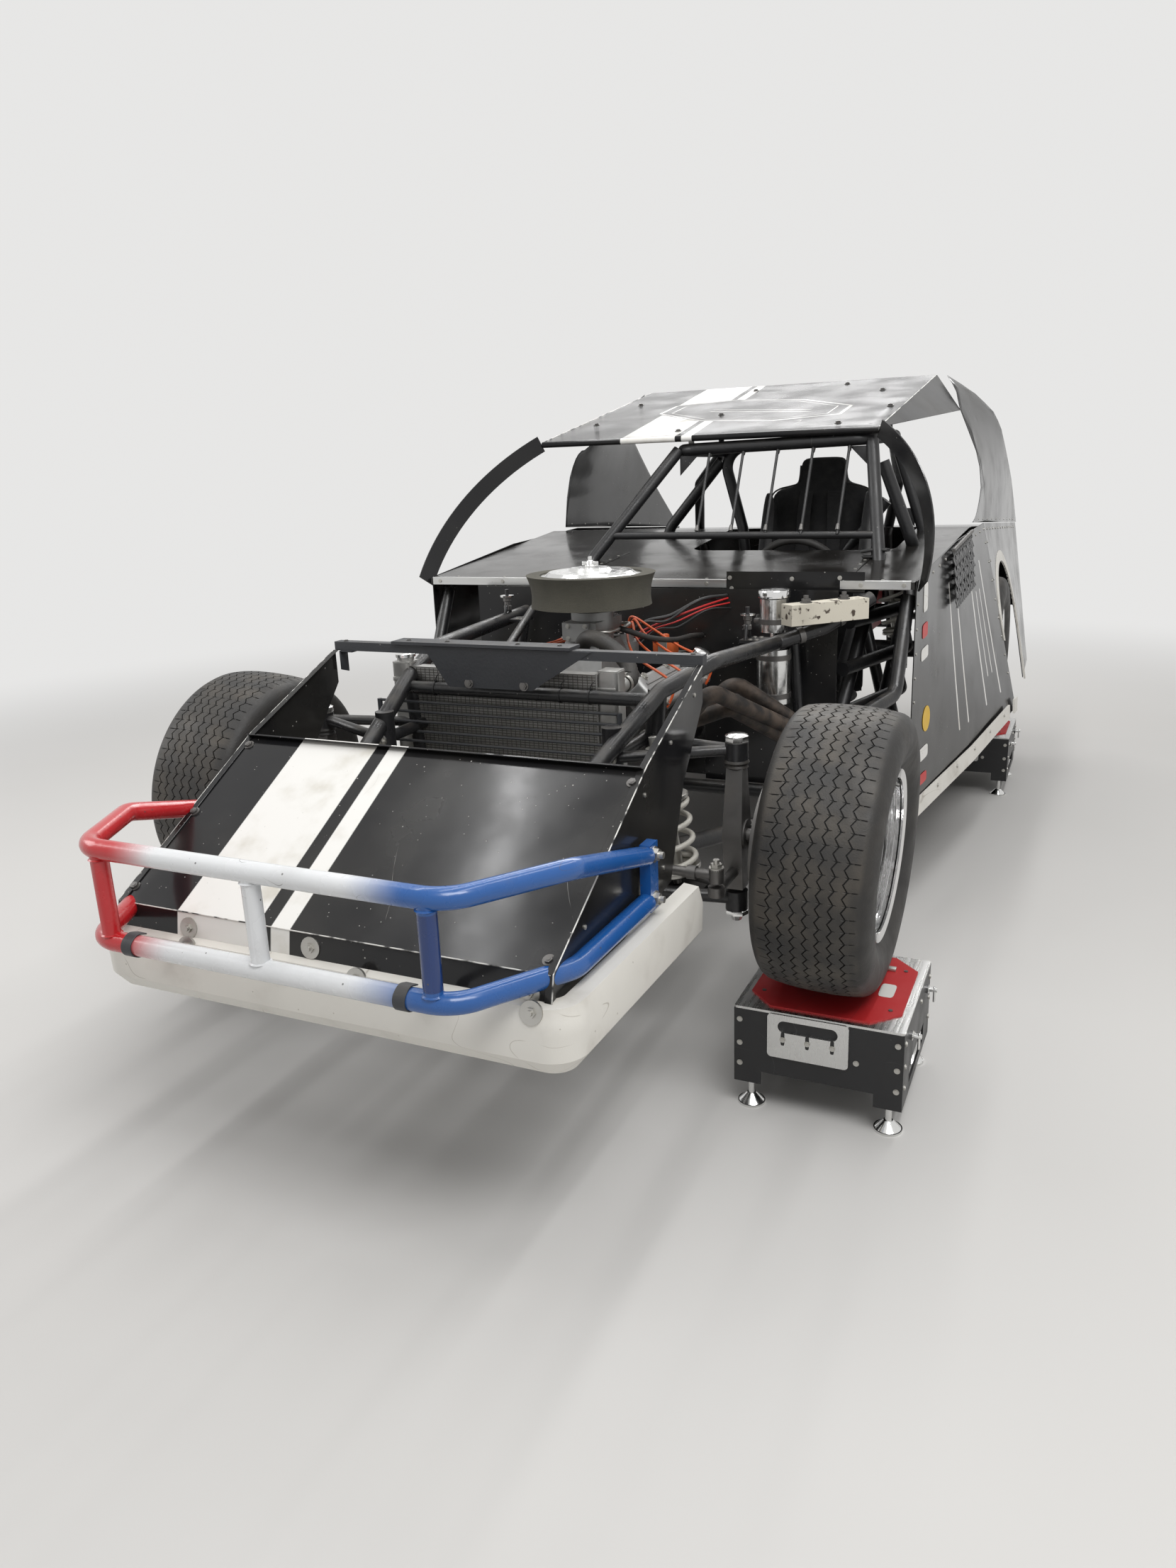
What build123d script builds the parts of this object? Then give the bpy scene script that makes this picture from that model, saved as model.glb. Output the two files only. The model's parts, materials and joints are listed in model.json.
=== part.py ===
# Dirt-track stock car, hood off, parked with its four wheels on scale stands.
# Millimetres. The car faces -Y, its left side is +X and +Z is up.
# The origin is on the floor, under the middle of the car's length and width.

import os
from math import cos, radians, sin

from build123d import *

os.makedirs("parts", exist_ok=True)

# Scale stands, one under each wheel
STAND_SIZE = 396.0
STAND_TOP = 272.0
STAND_FLOOR = 72.0
PAD_THICK = 4.0
PAD_TOP = STAND_TOP + PAD_THICK

# Wheels and tyres
TYRE_RADIUS = 340.0
TYRE_HALF_WIDTH = 137.0
RIM_FLANGE_RADIUS = 206.0
RIM_HALF_WIDTH = 114.0
PAD_GAP = 5.0
FRONT_AXLE_Y = -1400.0
REAR_AXLE_Y = 1390.0
FRONT_TRACK_X = 865.0
REAR_TRACK_X = 860.0
LEFT_CAMBER = 2.5
RIGHT_CAMBER = 4.5

# Steering
KINGPIN_X = 612.0
UPPER_JOINT_Z = 830.0
LOWER_JOINT_Z = 478.0
STEER_ARM = 160.0
TIE_ROD_Z = 580.0

# Body
DECK_FRONT_Y = -399.0
DECK_FRONT_Z = 1134.0
DECK_HALF_WIDTH = 853.0
SHEET = 3.0
CROSSBAR_Y = -1403.0
CROSSBAR_Z = 1060.0
NOSE_HALF_WIDTH = 531.0
NOSE_TOP = (-1786.0, 899.0)
NOSE_CREASE = (-2261.0, 633.0)
BUMPER_FRONT_Y = -2420.0
BUMPER_REAR_Y = 2420.0
BUMPER_LOW_Z = 629.0
BUMPER_HIGH_Z = 826.0
BUMPER_TUBE = 42.0

# Chassis tube sizes
RAIL_TUBE = 50.0
CROSS_TUBE = 44.0
CAGE_TUBE = 44.0
LIGHT_TUBE = 32.0

# Engine
ENGINE_X = 15.0
CRANK_Z = 600.0
BLOCK_FRONT_Y = -1130.0
BLOCK_REAR_Y = -650.0
CARB_Y = -905.0
FILTER_Z = 1162.0
FILTER_RADIUS = 190.0
RADIATOR_X = (-422.0, 270.0)
RADIATOR_Y = -1290.0

# Tyre section, outboard half: distance from the middle of the tread, radius
TYRE_SECTION = (
    (0.0, TYRE_RADIUS),
    (62.0, 338.0),
    (108.0, 331.0),
    (127.0, 316.0),
    (TYRE_HALF_WIDTH, 276.0),
    (132.0, 240.0),
    (RIM_HALF_WIDTH, 207.0),
    (100.0, 190.0),
)


def bar(points, diameter, bend=0.0):
    """One round bar along straight runs, with every corner bent to one radius."""
    with BuildPart() as rod:
        with BuildLine() as route:
            if bend and len(points) > 2:
                FilletPolyline(*points, radius=bend)
            else:
                Polyline(*points)
        with BuildSketch(Plane(origin=route.line @ 0, z_dir=route.line % 0)):
            Circle(diameter / 2)
        sweep(path=route.line)
    return rod.part


def plate(corners, thickness):
    """A flat panel through corners in space, thickened evenly about its plane."""
    first = Vector(*corners[0])
    along = Vector(*corners[1]) - first
    across = Vector(*corners[-1]) - first
    plane = Plane(origin=first, x_dir=along, z_dir=along.cross(across))
    flat = [plane.to_local_coords(Vector(*corner)) for corner in corners]
    with BuildPart() as panel:
        with BuildSketch(plane):
            with BuildLine():
                Polyline(*[(point.X, point.Y) for point in flat], close=True)
            make_face()
        extrude(amount=thickness / 2, both=True)
    return panel.part


def skin(stations, inward):
    """A sheet lofted along Y through stations of (y, [(x, z), ...]), top to bottom."""
    shift_x, shift_z = inward
    with BuildPart() as sheet:
        for y, line in stations:
            back = [(x + shift_x, z + shift_z) for x, z in reversed(line)]
            with BuildSketch(Plane.XZ.offset(-y)):
                with BuildLine():
                    Polyline(*line, *back, close=True)
                make_face()
        loft(ruled=True)
    return sheet.part


def side_view(outline, low_x, high_x):
    """A prism across the car whose side view is the outline of (y, z) corners."""
    with BuildPart() as prism:
        with BuildSketch(Plane.YZ.offset(low_x)):
            with BuildLine():
                Polyline(*outline, close=True)
            make_face()
        extrude(amount=high_x - low_x)
    return prism.part


def tyre_reach(camber):
    """How far the leaning tyre reaches below its own centre."""
    lean = radians(abs(camber))
    return max(radius * cos(lean) + x * sin(lean) for x, radius in TYRE_SECTION)


def finish(piece, label):
    """Name a finished piece and write it out."""
    piece.label = label
    export_step(piece, f"parts/{label}.step")


def two_sided(rows):
    """The same rows again for the car's right side, with X turned round."""
    flipped = [
        ([(-x, y, z) for x, y, z in points], *rest)
        for points, *rest in rows
    ]
    return list(rows) + flipped


# Where each wheel stands: name, side, axle y, centre x, lean about Y
FRONT_LEFT_Z = PAD_TOP + PAD_GAP + tyre_reach(LEFT_CAMBER)
FRONT_RIGHT_Z = PAD_TOP + PAD_GAP + tyre_reach(RIGHT_CAMBER)
REAR_WHEEL_Z = PAD_TOP + PAD_GAP + TYRE_RADIUS
CORNERS = (
    ("front_left", 1, (FRONT_TRACK_X, FRONT_AXLE_Y, FRONT_LEFT_Z), LEFT_CAMBER),
    ("front_right", -1, (-FRONT_TRACK_X, FRONT_AXLE_Y, FRONT_RIGHT_Z), RIGHT_CAMBER),
    ("rear_left", 1, (REAR_TRACK_X, REAR_AXLE_Y, REAR_WHEEL_Z), 0.0),
    ("rear_right", -1, (-REAR_TRACK_X, REAR_AXLE_Y, REAR_WHEEL_Z), 0.0),
)
STAND_SPOTS = [(centre[0], centre[1]) for _, _, centre, _ in CORNERS]

# Scale stands: box of black plates, open at the front and sides
FOOT_INSET = 34.0
FOOT_RADIUS = 33.0
WALL = 5.0

with BuildPart() as stand_boxes:
    for x, y in STAND_SPOTS:
        with Locations((x, y, STAND_FLOOR)):
            Box(STAND_SIZE, STAND_SIZE, STAND_TOP - STAND_FLOOR - 6,
                align=(Align.CENTER, Align.CENTER, Align.MIN))
            Box(STAND_SIZE - 2 * WALL, STAND_SIZE - 2 * WALL, STAND_TOP - STAND_FLOOR - 12,
                align=(Align.CENTER, Align.CENTER, Align.MIN), mode=Mode.SUBTRACT)
            Box(STAND_SIZE - 130, STAND_SIZE + 2, 34,
                align=(Align.CENTER, Align.CENTER, Align.MIN), mode=Mode.SUBTRACT)
        with Locations((x, y, STAND_FLOOR + 26)):
            Box(STAND_SIZE + 2, STAND_SIZE - 180, 46,
                align=(Align.CENTER, Align.CENTER, Align.MIN), mode=Mode.SUBTRACT)
finish(stand_boxes.part, "stand_boxes")

with BuildPart() as stand_tops:
    for x, y in STAND_SPOTS:
        with BuildSketch(Plane.XY.offset(STAND_TOP - 6)):
            with Locations((x, y)):
                RectangleRounded(STAND_SIZE, STAND_SIZE, 6)
    extrude(amount=6)
    for x, y in STAND_SPOTS:
        with BuildSketch(Plane.XZ.offset(-(y - STAND_SIZE / 2))):
            with Locations((x - 20, STAND_TOP - 58)):
                RectangleRounded(190, 112, 10)
            with Locations((x - 20, STAND_TOP - 32)):
                SlotOverall(140, 30, mode=Mode.SUBTRACT)
    extrude(amount=8)
finish(stand_tops.part, "stand_tops")

with BuildPart() as stand_pads:
    for x, y in STAND_SPOTS:
        with BuildSketch(Plane.XY.offset(STAND_TOP)):
            with Locations((x, y)):
                Rectangle(STAND_SIZE - 40, STAND_SIZE - 40)
    extrude(amount=PAD_THICK)
    chamfer(stand_pads.edges().filter_by(Axis.Z), 62)
finish(stand_pads.part, "stand_pads")

with BuildPart() as stand_feet:
    for x, y in STAND_SPOTS:
        reach = STAND_SIZE / 2 - FOOT_INSET
        with Locations((x, y, 0)):
            with GridLocations(2 * reach, 2 * reach, 2, 2):
                Cylinder(FOOT_RADIUS, 6, align=(Align.CENTER, Align.CENTER, Align.MIN))
                with Locations((0, 0, 6)):
                    Cone(FOOT_RADIUS - 3, 11, 20, align=(Align.CENTER, Align.CENTER, Align.MIN))
                    Cylinder(8, STAND_FLOOR - 6, align=(Align.CENTER, Align.CENTER, Align.MIN))
finish(stand_feet.part, "stand_feet")

# Tyres, wheels and hubs, each made once about the X axis with outboard at +X
with BuildPart() as tyre:
    with BuildSketch() as tyre_section:
        with BuildLine():
            Polyline(
                *TYRE_SECTION,
                *[(-x, radius) for x, radius in reversed(TYRE_SECTION[1:])],
                close=True,
            )
        make_face()
    revolve(axis=Axis.X)

FACE_X = -38.0
BARREL_RADIUS = 168.0
LUG_CIRCLE = 63.5
RIM_LINE = (
    (-RIM_HALF_WIDTH, RIM_FLANGE_RADIUS),
    (-RIM_HALF_WIDTH + 8, 188.0),
    (-70.0, 187.0),
    (-56.0, BARREL_RADIUS),
    (40.0, BARREL_RADIUS),
    (70.0, 187.0),
    (RIM_HALF_WIDTH - 8, 188.0),
    (RIM_HALF_WIDTH, RIM_FLANGE_RADIUS),
)
RIM_SKIN = 4.0

with BuildPart() as wheel:
    with BuildSketch():
        with BuildLine():
            Polyline(
                *RIM_LINE,
                *[(x, radius - RIM_SKIN) for x, radius in reversed(RIM_LINE)],
                close=True,
            )
        make_face()
        with BuildLine():
            Polyline(
                (FACE_X, 40),
                (FACE_X, 84),
                (FACE_X + 22, 106),
                (FACE_X + 22, 142),
                (FACE_X + 6, BARREL_RADIUS - 2),
                (FACE_X + 12, BARREL_RADIUS - 2),
                (FACE_X + 28, 142),
                (FACE_X + 28, 104),
                (FACE_X + 6, 82),
                (FACE_X + 6, 40),
                close=True,
            )
        make_face()
    revolve(axis=Axis.X)
    with BuildSketch(Plane.YZ.offset(FACE_X - 2)):
        with PolarLocations(LUG_CIRCLE, 5):
            Circle(8)
    extrude(amount=12, mode=Mode.SUBTRACT)
    with BuildSketch(Plane.YZ.offset(FACE_X + 20)):
        with PolarLocations(124, 10):
            SlotOverall(40, 20, rotation=90)
    extrude(amount=12, mode=Mode.SUBTRACT)

HUB_BACK = -210.0
DISC_X = -170.0
with BuildPart() as hub:
    with BuildSketch():
        with BuildLine():
            Polyline(
                (HUB_BACK, 17.0),
                (HUB_BACK, 38.0),
                (DISC_X - 10, 44.0),
                (DISC_X - 10, 150.0),
                (DISC_X + 10, 150.0),
                (DISC_X + 10, 46.0),
                (FACE_X - 14, 46.0),
                (FACE_X - 14, 80.0),
                (FACE_X, 80.0),
                (FACE_X, 38.0),
                (FACE_X + 44, 36.0),
                (FACE_X + 48, 20.0),
                (FACE_X + 48, 0.0),
                (FACE_X + 30, 0.0),
                (FACE_X + 30, 17.0),
                close=True,
            )
        make_face()
    revolve(axis=Axis.X)
    with BuildSketch(Plane.YZ.offset(FACE_X)):
        with PolarLocations(LUG_CIRCLE, 5):
            Circle(7)
    extrude(amount=32)

for name, side, centre, lean in CORNERS:
    place = Location(centre, (0, lean, 0))
    for piece, label in ((tyre, "tyre"), (wheel, "wheel"), (hub, "hub")):
        outward = piece.part if side > 0 else piece.part.mirror(Plane.YZ)
        finish(outward.moved(place), f"{label}_{name}")

# Brake caliper with its bracket, about the left kingpin, behind the axle
CALIPER_TALL = 110.0
with BuildPart() as caliper:
    disc_x = FRONT_TRACK_X + DISC_X
    caliper_y = FRONT_AXLE_Y + 134
    with Locations((disc_x, caliper_y, FRONT_LEFT_Z)):
        Box(72, 76, CALIPER_TALL)
    with Locations((disc_x, caliper_y - 12, FRONT_LEFT_Z)):
        Box(38, 66, CALIPER_TALL + 2, mode=Mode.SUBTRACT)
    with Locations((KINGPIN_X + 13, FRONT_AXLE_Y + 42, FRONT_LEFT_Z)):
        Box(50, 44, 56)
    with Locations((KINGPIN_X + 36, FRONT_AXLE_Y + 100, FRONT_LEFT_Z)):
        Box(24, 98, 56)

# Steering knuckles: upright, spindle, steering arm and brake caliper
for name, side, centre, lean in CORNERS[:2]:
    tilt = radians(lean)
    inboard = (FRONT_TRACK_X - KINGPIN_X) * side
    spindle_z = centre[2] + inboard * sin(tilt) / cos(tilt)
    pin = (side * KINGPIN_X, FRONT_AXLE_Y, spindle_z)
    tip = (centre[0] - side * 14, FRONT_AXLE_Y, centre[2] + side * 14 * sin(tilt))
    arm_end = (side * KINGPIN_X, FRONT_AXLE_Y - STEER_ARM, TIE_ROD_Z - 40)
    with BuildPart() as knuckle:
        with BuildSketch(Plane.XY.offset(LOWER_JOINT_Z + 14)) as foot:
            with Locations((side * KINGPIN_X, FRONT_AXLE_Y)):
                Rectangle(44, 46)
        with BuildSketch(Plane.XY.offset(spindle_z)) as middle:
            with Locations((side * KINGPIN_X, FRONT_AXLE_Y)):
                Rectangle(50, 84)
        with BuildSketch(Plane.XY.offset(UPPER_JOINT_Z - 26)) as head:
            with Locations((side * KINGPIN_X, FRONT_AXLE_Y)):
                Rectangle(40, 40)
        loft(ruled=True)
        add(bar([pin, tip], 32))
        add(bar([(pin[0], pin[1], pin[2]), (pin[0] + side * 28, pin[1], pin[2])], 74))
        add(bar([(pin[0], FRONT_AXLE_Y, arm_end[2]), arm_end], 26))
        with Locations(arm_end):
            Cylinder(20, 24)
        add(caliper.part.mirror(Plane.YZ) if side < 0 else caliper.part)
    finish(knuckle.part, f"knuckle_{name.split('_')[1]}")

# Steering link: one sliding track rod with its two tie rods
with BuildPart() as steering_link:
    reach = KINGPIN_X
    link_y = FRONT_AXLE_Y - STEER_ARM
    add(bar([(-reach, link_y, TIE_ROD_Z), (reach, link_y, TIE_ROD_Z)], 24))
    for side in (-1, 1):
        with Locations((side * reach, link_y, TIE_ROD_Z)):
            Cylinder(18, 34)
        with Locations((side * (reach - 60), link_y, TIE_ROD_Z)):
            with Locations(Rotation(0, 90, 0)):
                Cylinder(17, 22)
finish(steering_link.part, "steering_link")

# Chassis: lower rails, kick-ups over the rear axle and crossmembers
RAIL_Z = 455.0
REAR_RAIL_Z = 790.0
SIDE_RAILS = two_sided([
    ([(330, -1880, 540), (330, -1080, RAIL_Z), (560, -720, RAIL_Z), (560, 900, RAIL_Z),
      (430, 1090, REAR_RAIL_Z), (430, 2360, REAR_RAIL_Z - 60)], RAIL_TUBE, 75),
    ([(430, 1700, REAR_RAIL_Z - 22), (430, 1760, 560), (430, 2340, 590)], LIGHT_TUBE, 40),
    ([(330, -1500, 498), (330, -1500, 905)], RAIL_TUBE),
    ([(330, -1300, 478), (372, -1300, 960)], RAIL_TUBE),
    ([(335, -1510, UPPER_JOINT_Z), (335, -1290, UPPER_JOINT_Z)], LIGHT_TUBE),
])
CROSSMEMBERS = [
    ([(-330, -1870, 540), (330, -1870, 540)], CROSS_TUBE),
    ([(-330, -1500, 500), (330, -1500, 500)], CROSS_TUBE),
    ([(-330, -1190, RAIL_Z + 12), (330, -1190, RAIL_Z + 12)], CROSS_TUBE),
    ([(-560, -480, RAIL_Z), (560, -480, RAIL_Z)], CROSS_TUBE),
    ([(-560, 560, RAIL_Z), (560, 560, RAIL_Z)], CROSS_TUBE),
    ([(-430, 1130, REAR_RAIL_Z), (430, 1130, REAR_RAIL_Z)], CROSS_TUBE),
    ([(-430, 1700, REAR_RAIL_Z - 24), (430, 1700, REAR_RAIL_Z - 24)], CROSS_TUBE),
    ([(-430, 2340, REAR_RAIL_Z - 60), (430, 2340, REAR_RAIL_Z - 60)], LIGHT_TUBE),
    ([(-430, 2335, 590), (430, 2335, 590)], LIGHT_TUBE),
    ([(-430, 2335, 590), (-430, 2335, 735)], LIGHT_TUBE),
    ([(430, 2335, 590), (430, 2335, 735)], LIGHT_TUBE),
]
with BuildPart() as main_frame:
    for row in SIDE_RAILS + CROSSMEMBERS:
        add(bar(*row))
finish(main_frame.part, "main_frame")

# Open engine bay: front hoops that run on as the upper rails, and their braces
FIREWALL_Y = -480.0
RADIATOR_TUBE_Y = -1345.0
BAY_TUBES = [
    ([(340, -1868, 560), (318, -1650, 805), (392, -1330, 962), (468, -1140, 1006),
      (512, FIREWALL_Y, 966)], CAGE_TUBE, 70),
    ([(-340, -1868, 560), (-318, -1650, 805), (-360, -1330, 962), (-385, -1140, 1018),
      (-430, FIREWALL_Y, 1030)], CAGE_TUBE, 70),
    ([(-350, RADIATOR_TUBE_Y, 940), (375, RADIATOR_TUBE_Y, 940)], 36),
    ([(505, -640, 976), (620, -540, 1010), (735, -410, 1085)], CAGE_TUBE, 60),
    ([(600, -700, 480), (706, -810, 745), (828, -480, 800), (832, -330, 1080)], CAGE_TUBE, 60),
    ([(-600, -700, 480), (-706, -810, 745), (-828, -480, 800), (-832, -330, 1080)],
     CAGE_TUBE, 60),
    ([(560, -720, RAIL_Z), (600, -700, 500)], CAGE_TUBE),
    ([(-560, -720, RAIL_Z), (-600, -700, 500)], CAGE_TUBE),
    ([(512, FIREWALL_Y, 966), (550, FIREWALL_Y, RAIL_Z + 20)], LIGHT_TUBE),
    ([(-430, FIREWALL_Y, 1030), (-550, FIREWALL_Y, RAIL_Z + 20)], LIGHT_TUBE),
    ([(-120, RADIATOR_TUBE_Y, 945), (-330, -620, 1060)], 26),
]

# Hood pins on the upper rails: an A-shaped bracket, a post and a wide washer
HOOD_PINS = ((428.0, -700.0, 992.0), (-415.0, -640.0, 1026.0))
with BuildPart() as bay_tubes:
    for row in BAY_TUBES:
        add(bar(*row))
    for x, y, z in HOOD_PINS:
        add(bar([(x, y - 24, z), (x, y, z + 76), (x, y + 24, z)], 10, 12))
        with Locations((x, y, z + 76)):
            Cylinder(6, 44)
            Cylinder(21, 4)
        with Locations((x + 30, y, z)):
            Box(90, 70, 8)
finish(bay_tubes.part, "bay_tubes")

# Front and rear bumpers: an upper and a lower hoop joined by three posts
POST_X = 412.0
SIDE_PLATE_Y = -1857.0
SIDE_X = 556.0
with BuildPart() as front_bumper:
    for z, drop in ((BUMPER_HIGH_Z, 100), (BUMPER_LOW_Z, 8)):
        add(bar([(SIDE_X, SIDE_PLATE_Y, z - drop), (SIDE_X - 10, -2190, z - 10),
                 (POST_X + 8, BUMPER_FRONT_Y, z), (-POST_X - 8, BUMPER_FRONT_Y, z),
                 (10 - SIDE_X, -2190, z - 10), (-SIDE_X, SIDE_PLATE_Y, z - drop)],
                BUMPER_TUBE, 85))
    for x in (-POST_X + 30, 0, POST_X - 30):
        add(bar([(x, BUMPER_FRONT_Y, BUMPER_LOW_Z), (x, BUMPER_FRONT_Y, BUMPER_HIGH_Z)], 36))
    for x in (-SIDE_X, SIDE_X):
        with Locations((x, SIDE_PLATE_Y + 16, 675)):
            Box(24, 44, 150)
finish(front_bumper.part, "front_bumper")

with BuildPart() as rear_bumper:
    for z in (BUMPER_LOW_Z, BUMPER_HIGH_Z):
        add(bar([(790, 2290, z), (700, BUMPER_REAR_Y, z), (-700, BUMPER_REAR_Y, z),
                 (-790, 2290, z)], BUMPER_TUBE, 70))
    for x in (-300, 0, 300):
        add(bar([(x, BUMPER_REAR_Y, BUMPER_LOW_Z), (x, BUMPER_REAR_Y, BUMPER_HIGH_Z)], 36))
    for x in (-430, 430):
        add(bar([(x, 2358, BUMPER_LOW_Z), (x, BUMPER_REAR_Y, BUMPER_LOW_Z)], LIGHT_TUBE))
finish(rear_bumper.part, "rear_bumper")

# Nose: bent panel, its side plates and the white plastic lip round them
NOSE_LIP_Y = -2276.0
NOSE_LIP_Z = 552.0
NOSE_LINE = (NOSE_TOP, NOSE_CREASE, (NOSE_LIP_Y, NOSE_LIP_Z))
NOSE_SIDE = [
    (CROSSBAR_Y - 18, CROSSBAR_Z - 12), (NOSE_TOP[0], NOSE_TOP[1]),
    (NOSE_CREASE[0], NOSE_CREASE[1]), (NOSE_LIP_Y, NOSE_LIP_Z),
    (-1990, 560), (-1654, 589), (-1560, 800), (CROSSBAR_Y - 18, 960),
]
with BuildPart() as nose_panel:
    with BuildSketch(Plane.YZ.offset(-NOSE_HALF_WIDTH)):
        with BuildLine():
            Polyline(*NOSE_LINE, *[(y + 1.5, z - SHEET) for y, z in reversed(NOSE_LINE)],
                     close=True)
        make_face()
    extrude(amount=2 * NOSE_HALF_WIDTH)
    for low_x in (NOSE_HALF_WIDTH, -NOSE_HALF_WIDTH - SHEET):
        add(side_view(NOSE_SIDE, low_x, low_x + SHEET))
finish(nose_panel.part, "nose_panel")

with BuildPart() as nose_lip:
    with BuildLine() as lip_path:
        FilletPolyline((592, -1640, 560), (574, -2290, 560), (-574, -2290, 560),
                       (-592, -1640, 560), radius=60)
    with BuildSketch(Plane(origin=lip_path.line @ 0, x_dir=(1, 0, 0),
                           z_dir=lip_path.line % 0)):
        with BuildLine():
            Polyline((-32, 24), (4, 20), (14, -18), (12, -86), (-14, -120),
                     (-18, -116), (7, -84), (9, -18), (0, 15), (-32, 19), close=True)
        make_face()
    sweep(path=lip_path.line, transition=Transition.RIGHT)
finish(nose_lip.part, "nose_lip")

# Crossbar over the radiator with its shelf and the sloping air deflector
with BuildPart() as hood_crossbar:
    with Locations((0, CROSSBAR_Y, CROSSBAR_Z)):
        Box(2 * NOSE_HALF_WIDTH + 2 * SHEET, 30, 24)
    with Locations((-75, CROSSBAR_Y + 6, CROSSBAR_Z + 16)):
        Box(530, 62, 8)
    add(plate([(-246, CROSSBAR_Y - 17, CROSSBAR_Z + 10), (246, CROSSBAR_Y - 17, CROSSBAR_Z + 10),
               (70, CROSSBAR_Y - 6, 962), (-180, CROSSBAR_Y - 6, 962)], SHEET))
finish(hood_crossbar.part, "hood_crossbar")

# Radiator: finned core between two side tanks
with BuildPart() as radiator:
    left_x, right_x = RADIATOR_X
    with Locations(((left_x + right_x) / 2, RADIATOR_Y, 775)):
        Box(right_x - left_x - 110, 44, 430)
    for x in (left_x + 30, right_x - 30):
        with BuildSketch(Plane.XY.offset(550)):
            with Locations((x, RADIATOR_Y)):
                RectangleRounded(60, 62, 14)
        extrude(amount=450)
    with Locations((right_x - 26, RADIATOR_Y + 40, 950)):
        with Locations(Rotation(90, 0, 0)):
            Cylinder(19, 60)
    with Locations((left_x + 30, RADIATOR_Y, 1006)):
        Cylinder(24, 16)
finish(radiator.part, "radiator")

with BuildPart() as radiator_screen:
    for x in (left_x - 20, right_x + 20):
        add(bar([(x, RADIATOR_Y - 70, 560), (x, RADIATOR_Y - 70, 905)], 14))
    for row in range(13):
        z = 566 + 28 * row
        add(bar([(left_x - 20, RADIATOR_Y - 70, z), (right_x + 20, RADIATOR_Y - 70, z)], 8))
finish(radiator_screen.part, "radiator_screen")

with BuildPart() as radiator_hose:
    add(bar([(right_x - 26, RADIATOR_Y + 71, 950), (right_x - 26, -1165, 965),
             (200, -1140, 1035), (105, -1120, 1060), (60, -1085, 1010)], 42, 40))
finish(radiator_hose.part, "radiator_hose")

# Engine: V8 block with heads and sump, plain inside
HEAD_LEAN = 45.0
with BuildPart() as engine_block:
    with BuildSketch(Plane.XZ.offset(-BLOCK_REAR_Y)):
        with BuildLine():
            Polyline((ENGINE_X - 150, CRANK_Z - 20), (ENGINE_X - 165, CRANK_Z + 90),
                     (ENGINE_X - 262, CRANK_Z + 215), (ENGINE_X - 165, CRANK_Z + 312),
                     (ENGINE_X - 60, CRANK_Z + 215), (ENGINE_X + 60, CRANK_Z + 215),
                     (ENGINE_X + 165, CRANK_Z + 312), (ENGINE_X + 262, CRANK_Z + 215),
                     (ENGINE_X + 165, CRANK_Z + 90), (ENGINE_X + 150, CRANK_Z - 20),
                     (ENGINE_X + 125, CRANK_Z - 150), (ENGINE_X - 125, CRANK_Z - 150),
                     close=True)
        make_face()
    extrude(amount=BLOCK_REAR_Y - BLOCK_FRONT_Y)
    with BuildSketch(Plane.XZ.offset(-BLOCK_REAR_Y)) as bell:
        with Locations((ENGINE_X, CRANK_Z)):
            Circle(185)
    with BuildSketch(Plane.XZ.offset(-BLOCK_REAR_Y - 160)):
        with Locations((ENGINE_X, CRANK_Z)):
            Circle(95)
    loft()
finish(engine_block.part, "engine_block")

with BuildPart() as valve_covers:
    for side in (-1, 1):
        cover = Plane(origin=(ENGINE_X + side * 214, (BLOCK_FRONT_Y + BLOCK_REAR_Y) / 2,
                              CRANK_Z + 264), x_dir=(0, 1, 0), z_dir=(side, 0, 1))
        with BuildSketch(cover):
            RectangleRounded(440, 112, 24)
        extrude(amount=62)
    fillet(valve_covers.faces().group_by(SortBy.AREA)[-1].edges(), 12)
finish(valve_covers.part, "valve_covers")

with BuildPart() as intake:
    with BuildSketch(Plane.XY.offset(CRANK_Z + 222)):
        with Locations((ENGINE_X, CARB_Y)):
            Rectangle(200, 380)
    with BuildSketch(Plane.XY.offset(1015)):
        with Locations((ENGINE_X, CARB_Y)):
            Rectangle(120, 130)
    loft(ruled=True)
    with Locations((ENGINE_X, CARB_Y, 1052)):
        Box(108, 190, 46)
        Cylinder(62, 92)
    with Locations((ENGINE_X, CARB_Y - 90, 1050), (ENGINE_X, CARB_Y + 90, 1050)):
        Box(70, 46, 52)
    for radius, tall, z in ((22, 110, 870), (52, 50, 950), (38, 30, 985)):
        with Locations((ENGINE_X, BLOCK_REAR_Y - 36, z)):
            Cylinder(radius, tall)
finish(intake.part, "intake")

# Belt drive on the front of the engine: pulleys, belt and fan
PULLEYS = ((0.0, 0.0, 82.0), (0.0, 170.0, 78.0), (165.0, 60.0, 44.0))
with BuildPart() as belt_drive:
    for x, z, radius in PULLEYS:
        with Locations(Location((ENGINE_X + x, BLOCK_FRONT_Y - 26, CRANK_Z + z), (90, 0, 0))):
            Cylinder(radius, 24)
            Cylinder(24, 52)
    with Locations(Location((ENGINE_X, BLOCK_FRONT_Y - 60, CRANK_Z + 170), (90, 0, 0))):
        Cylinder(40, 20)
    with Locations((ENGINE_X, BLOCK_FRONT_Y - 66, CRANK_Z + 170)):
        Box(46, 8, 330)
        Box(330, 8, 46)
finish(belt_drive.part, "belt_drive")

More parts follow.
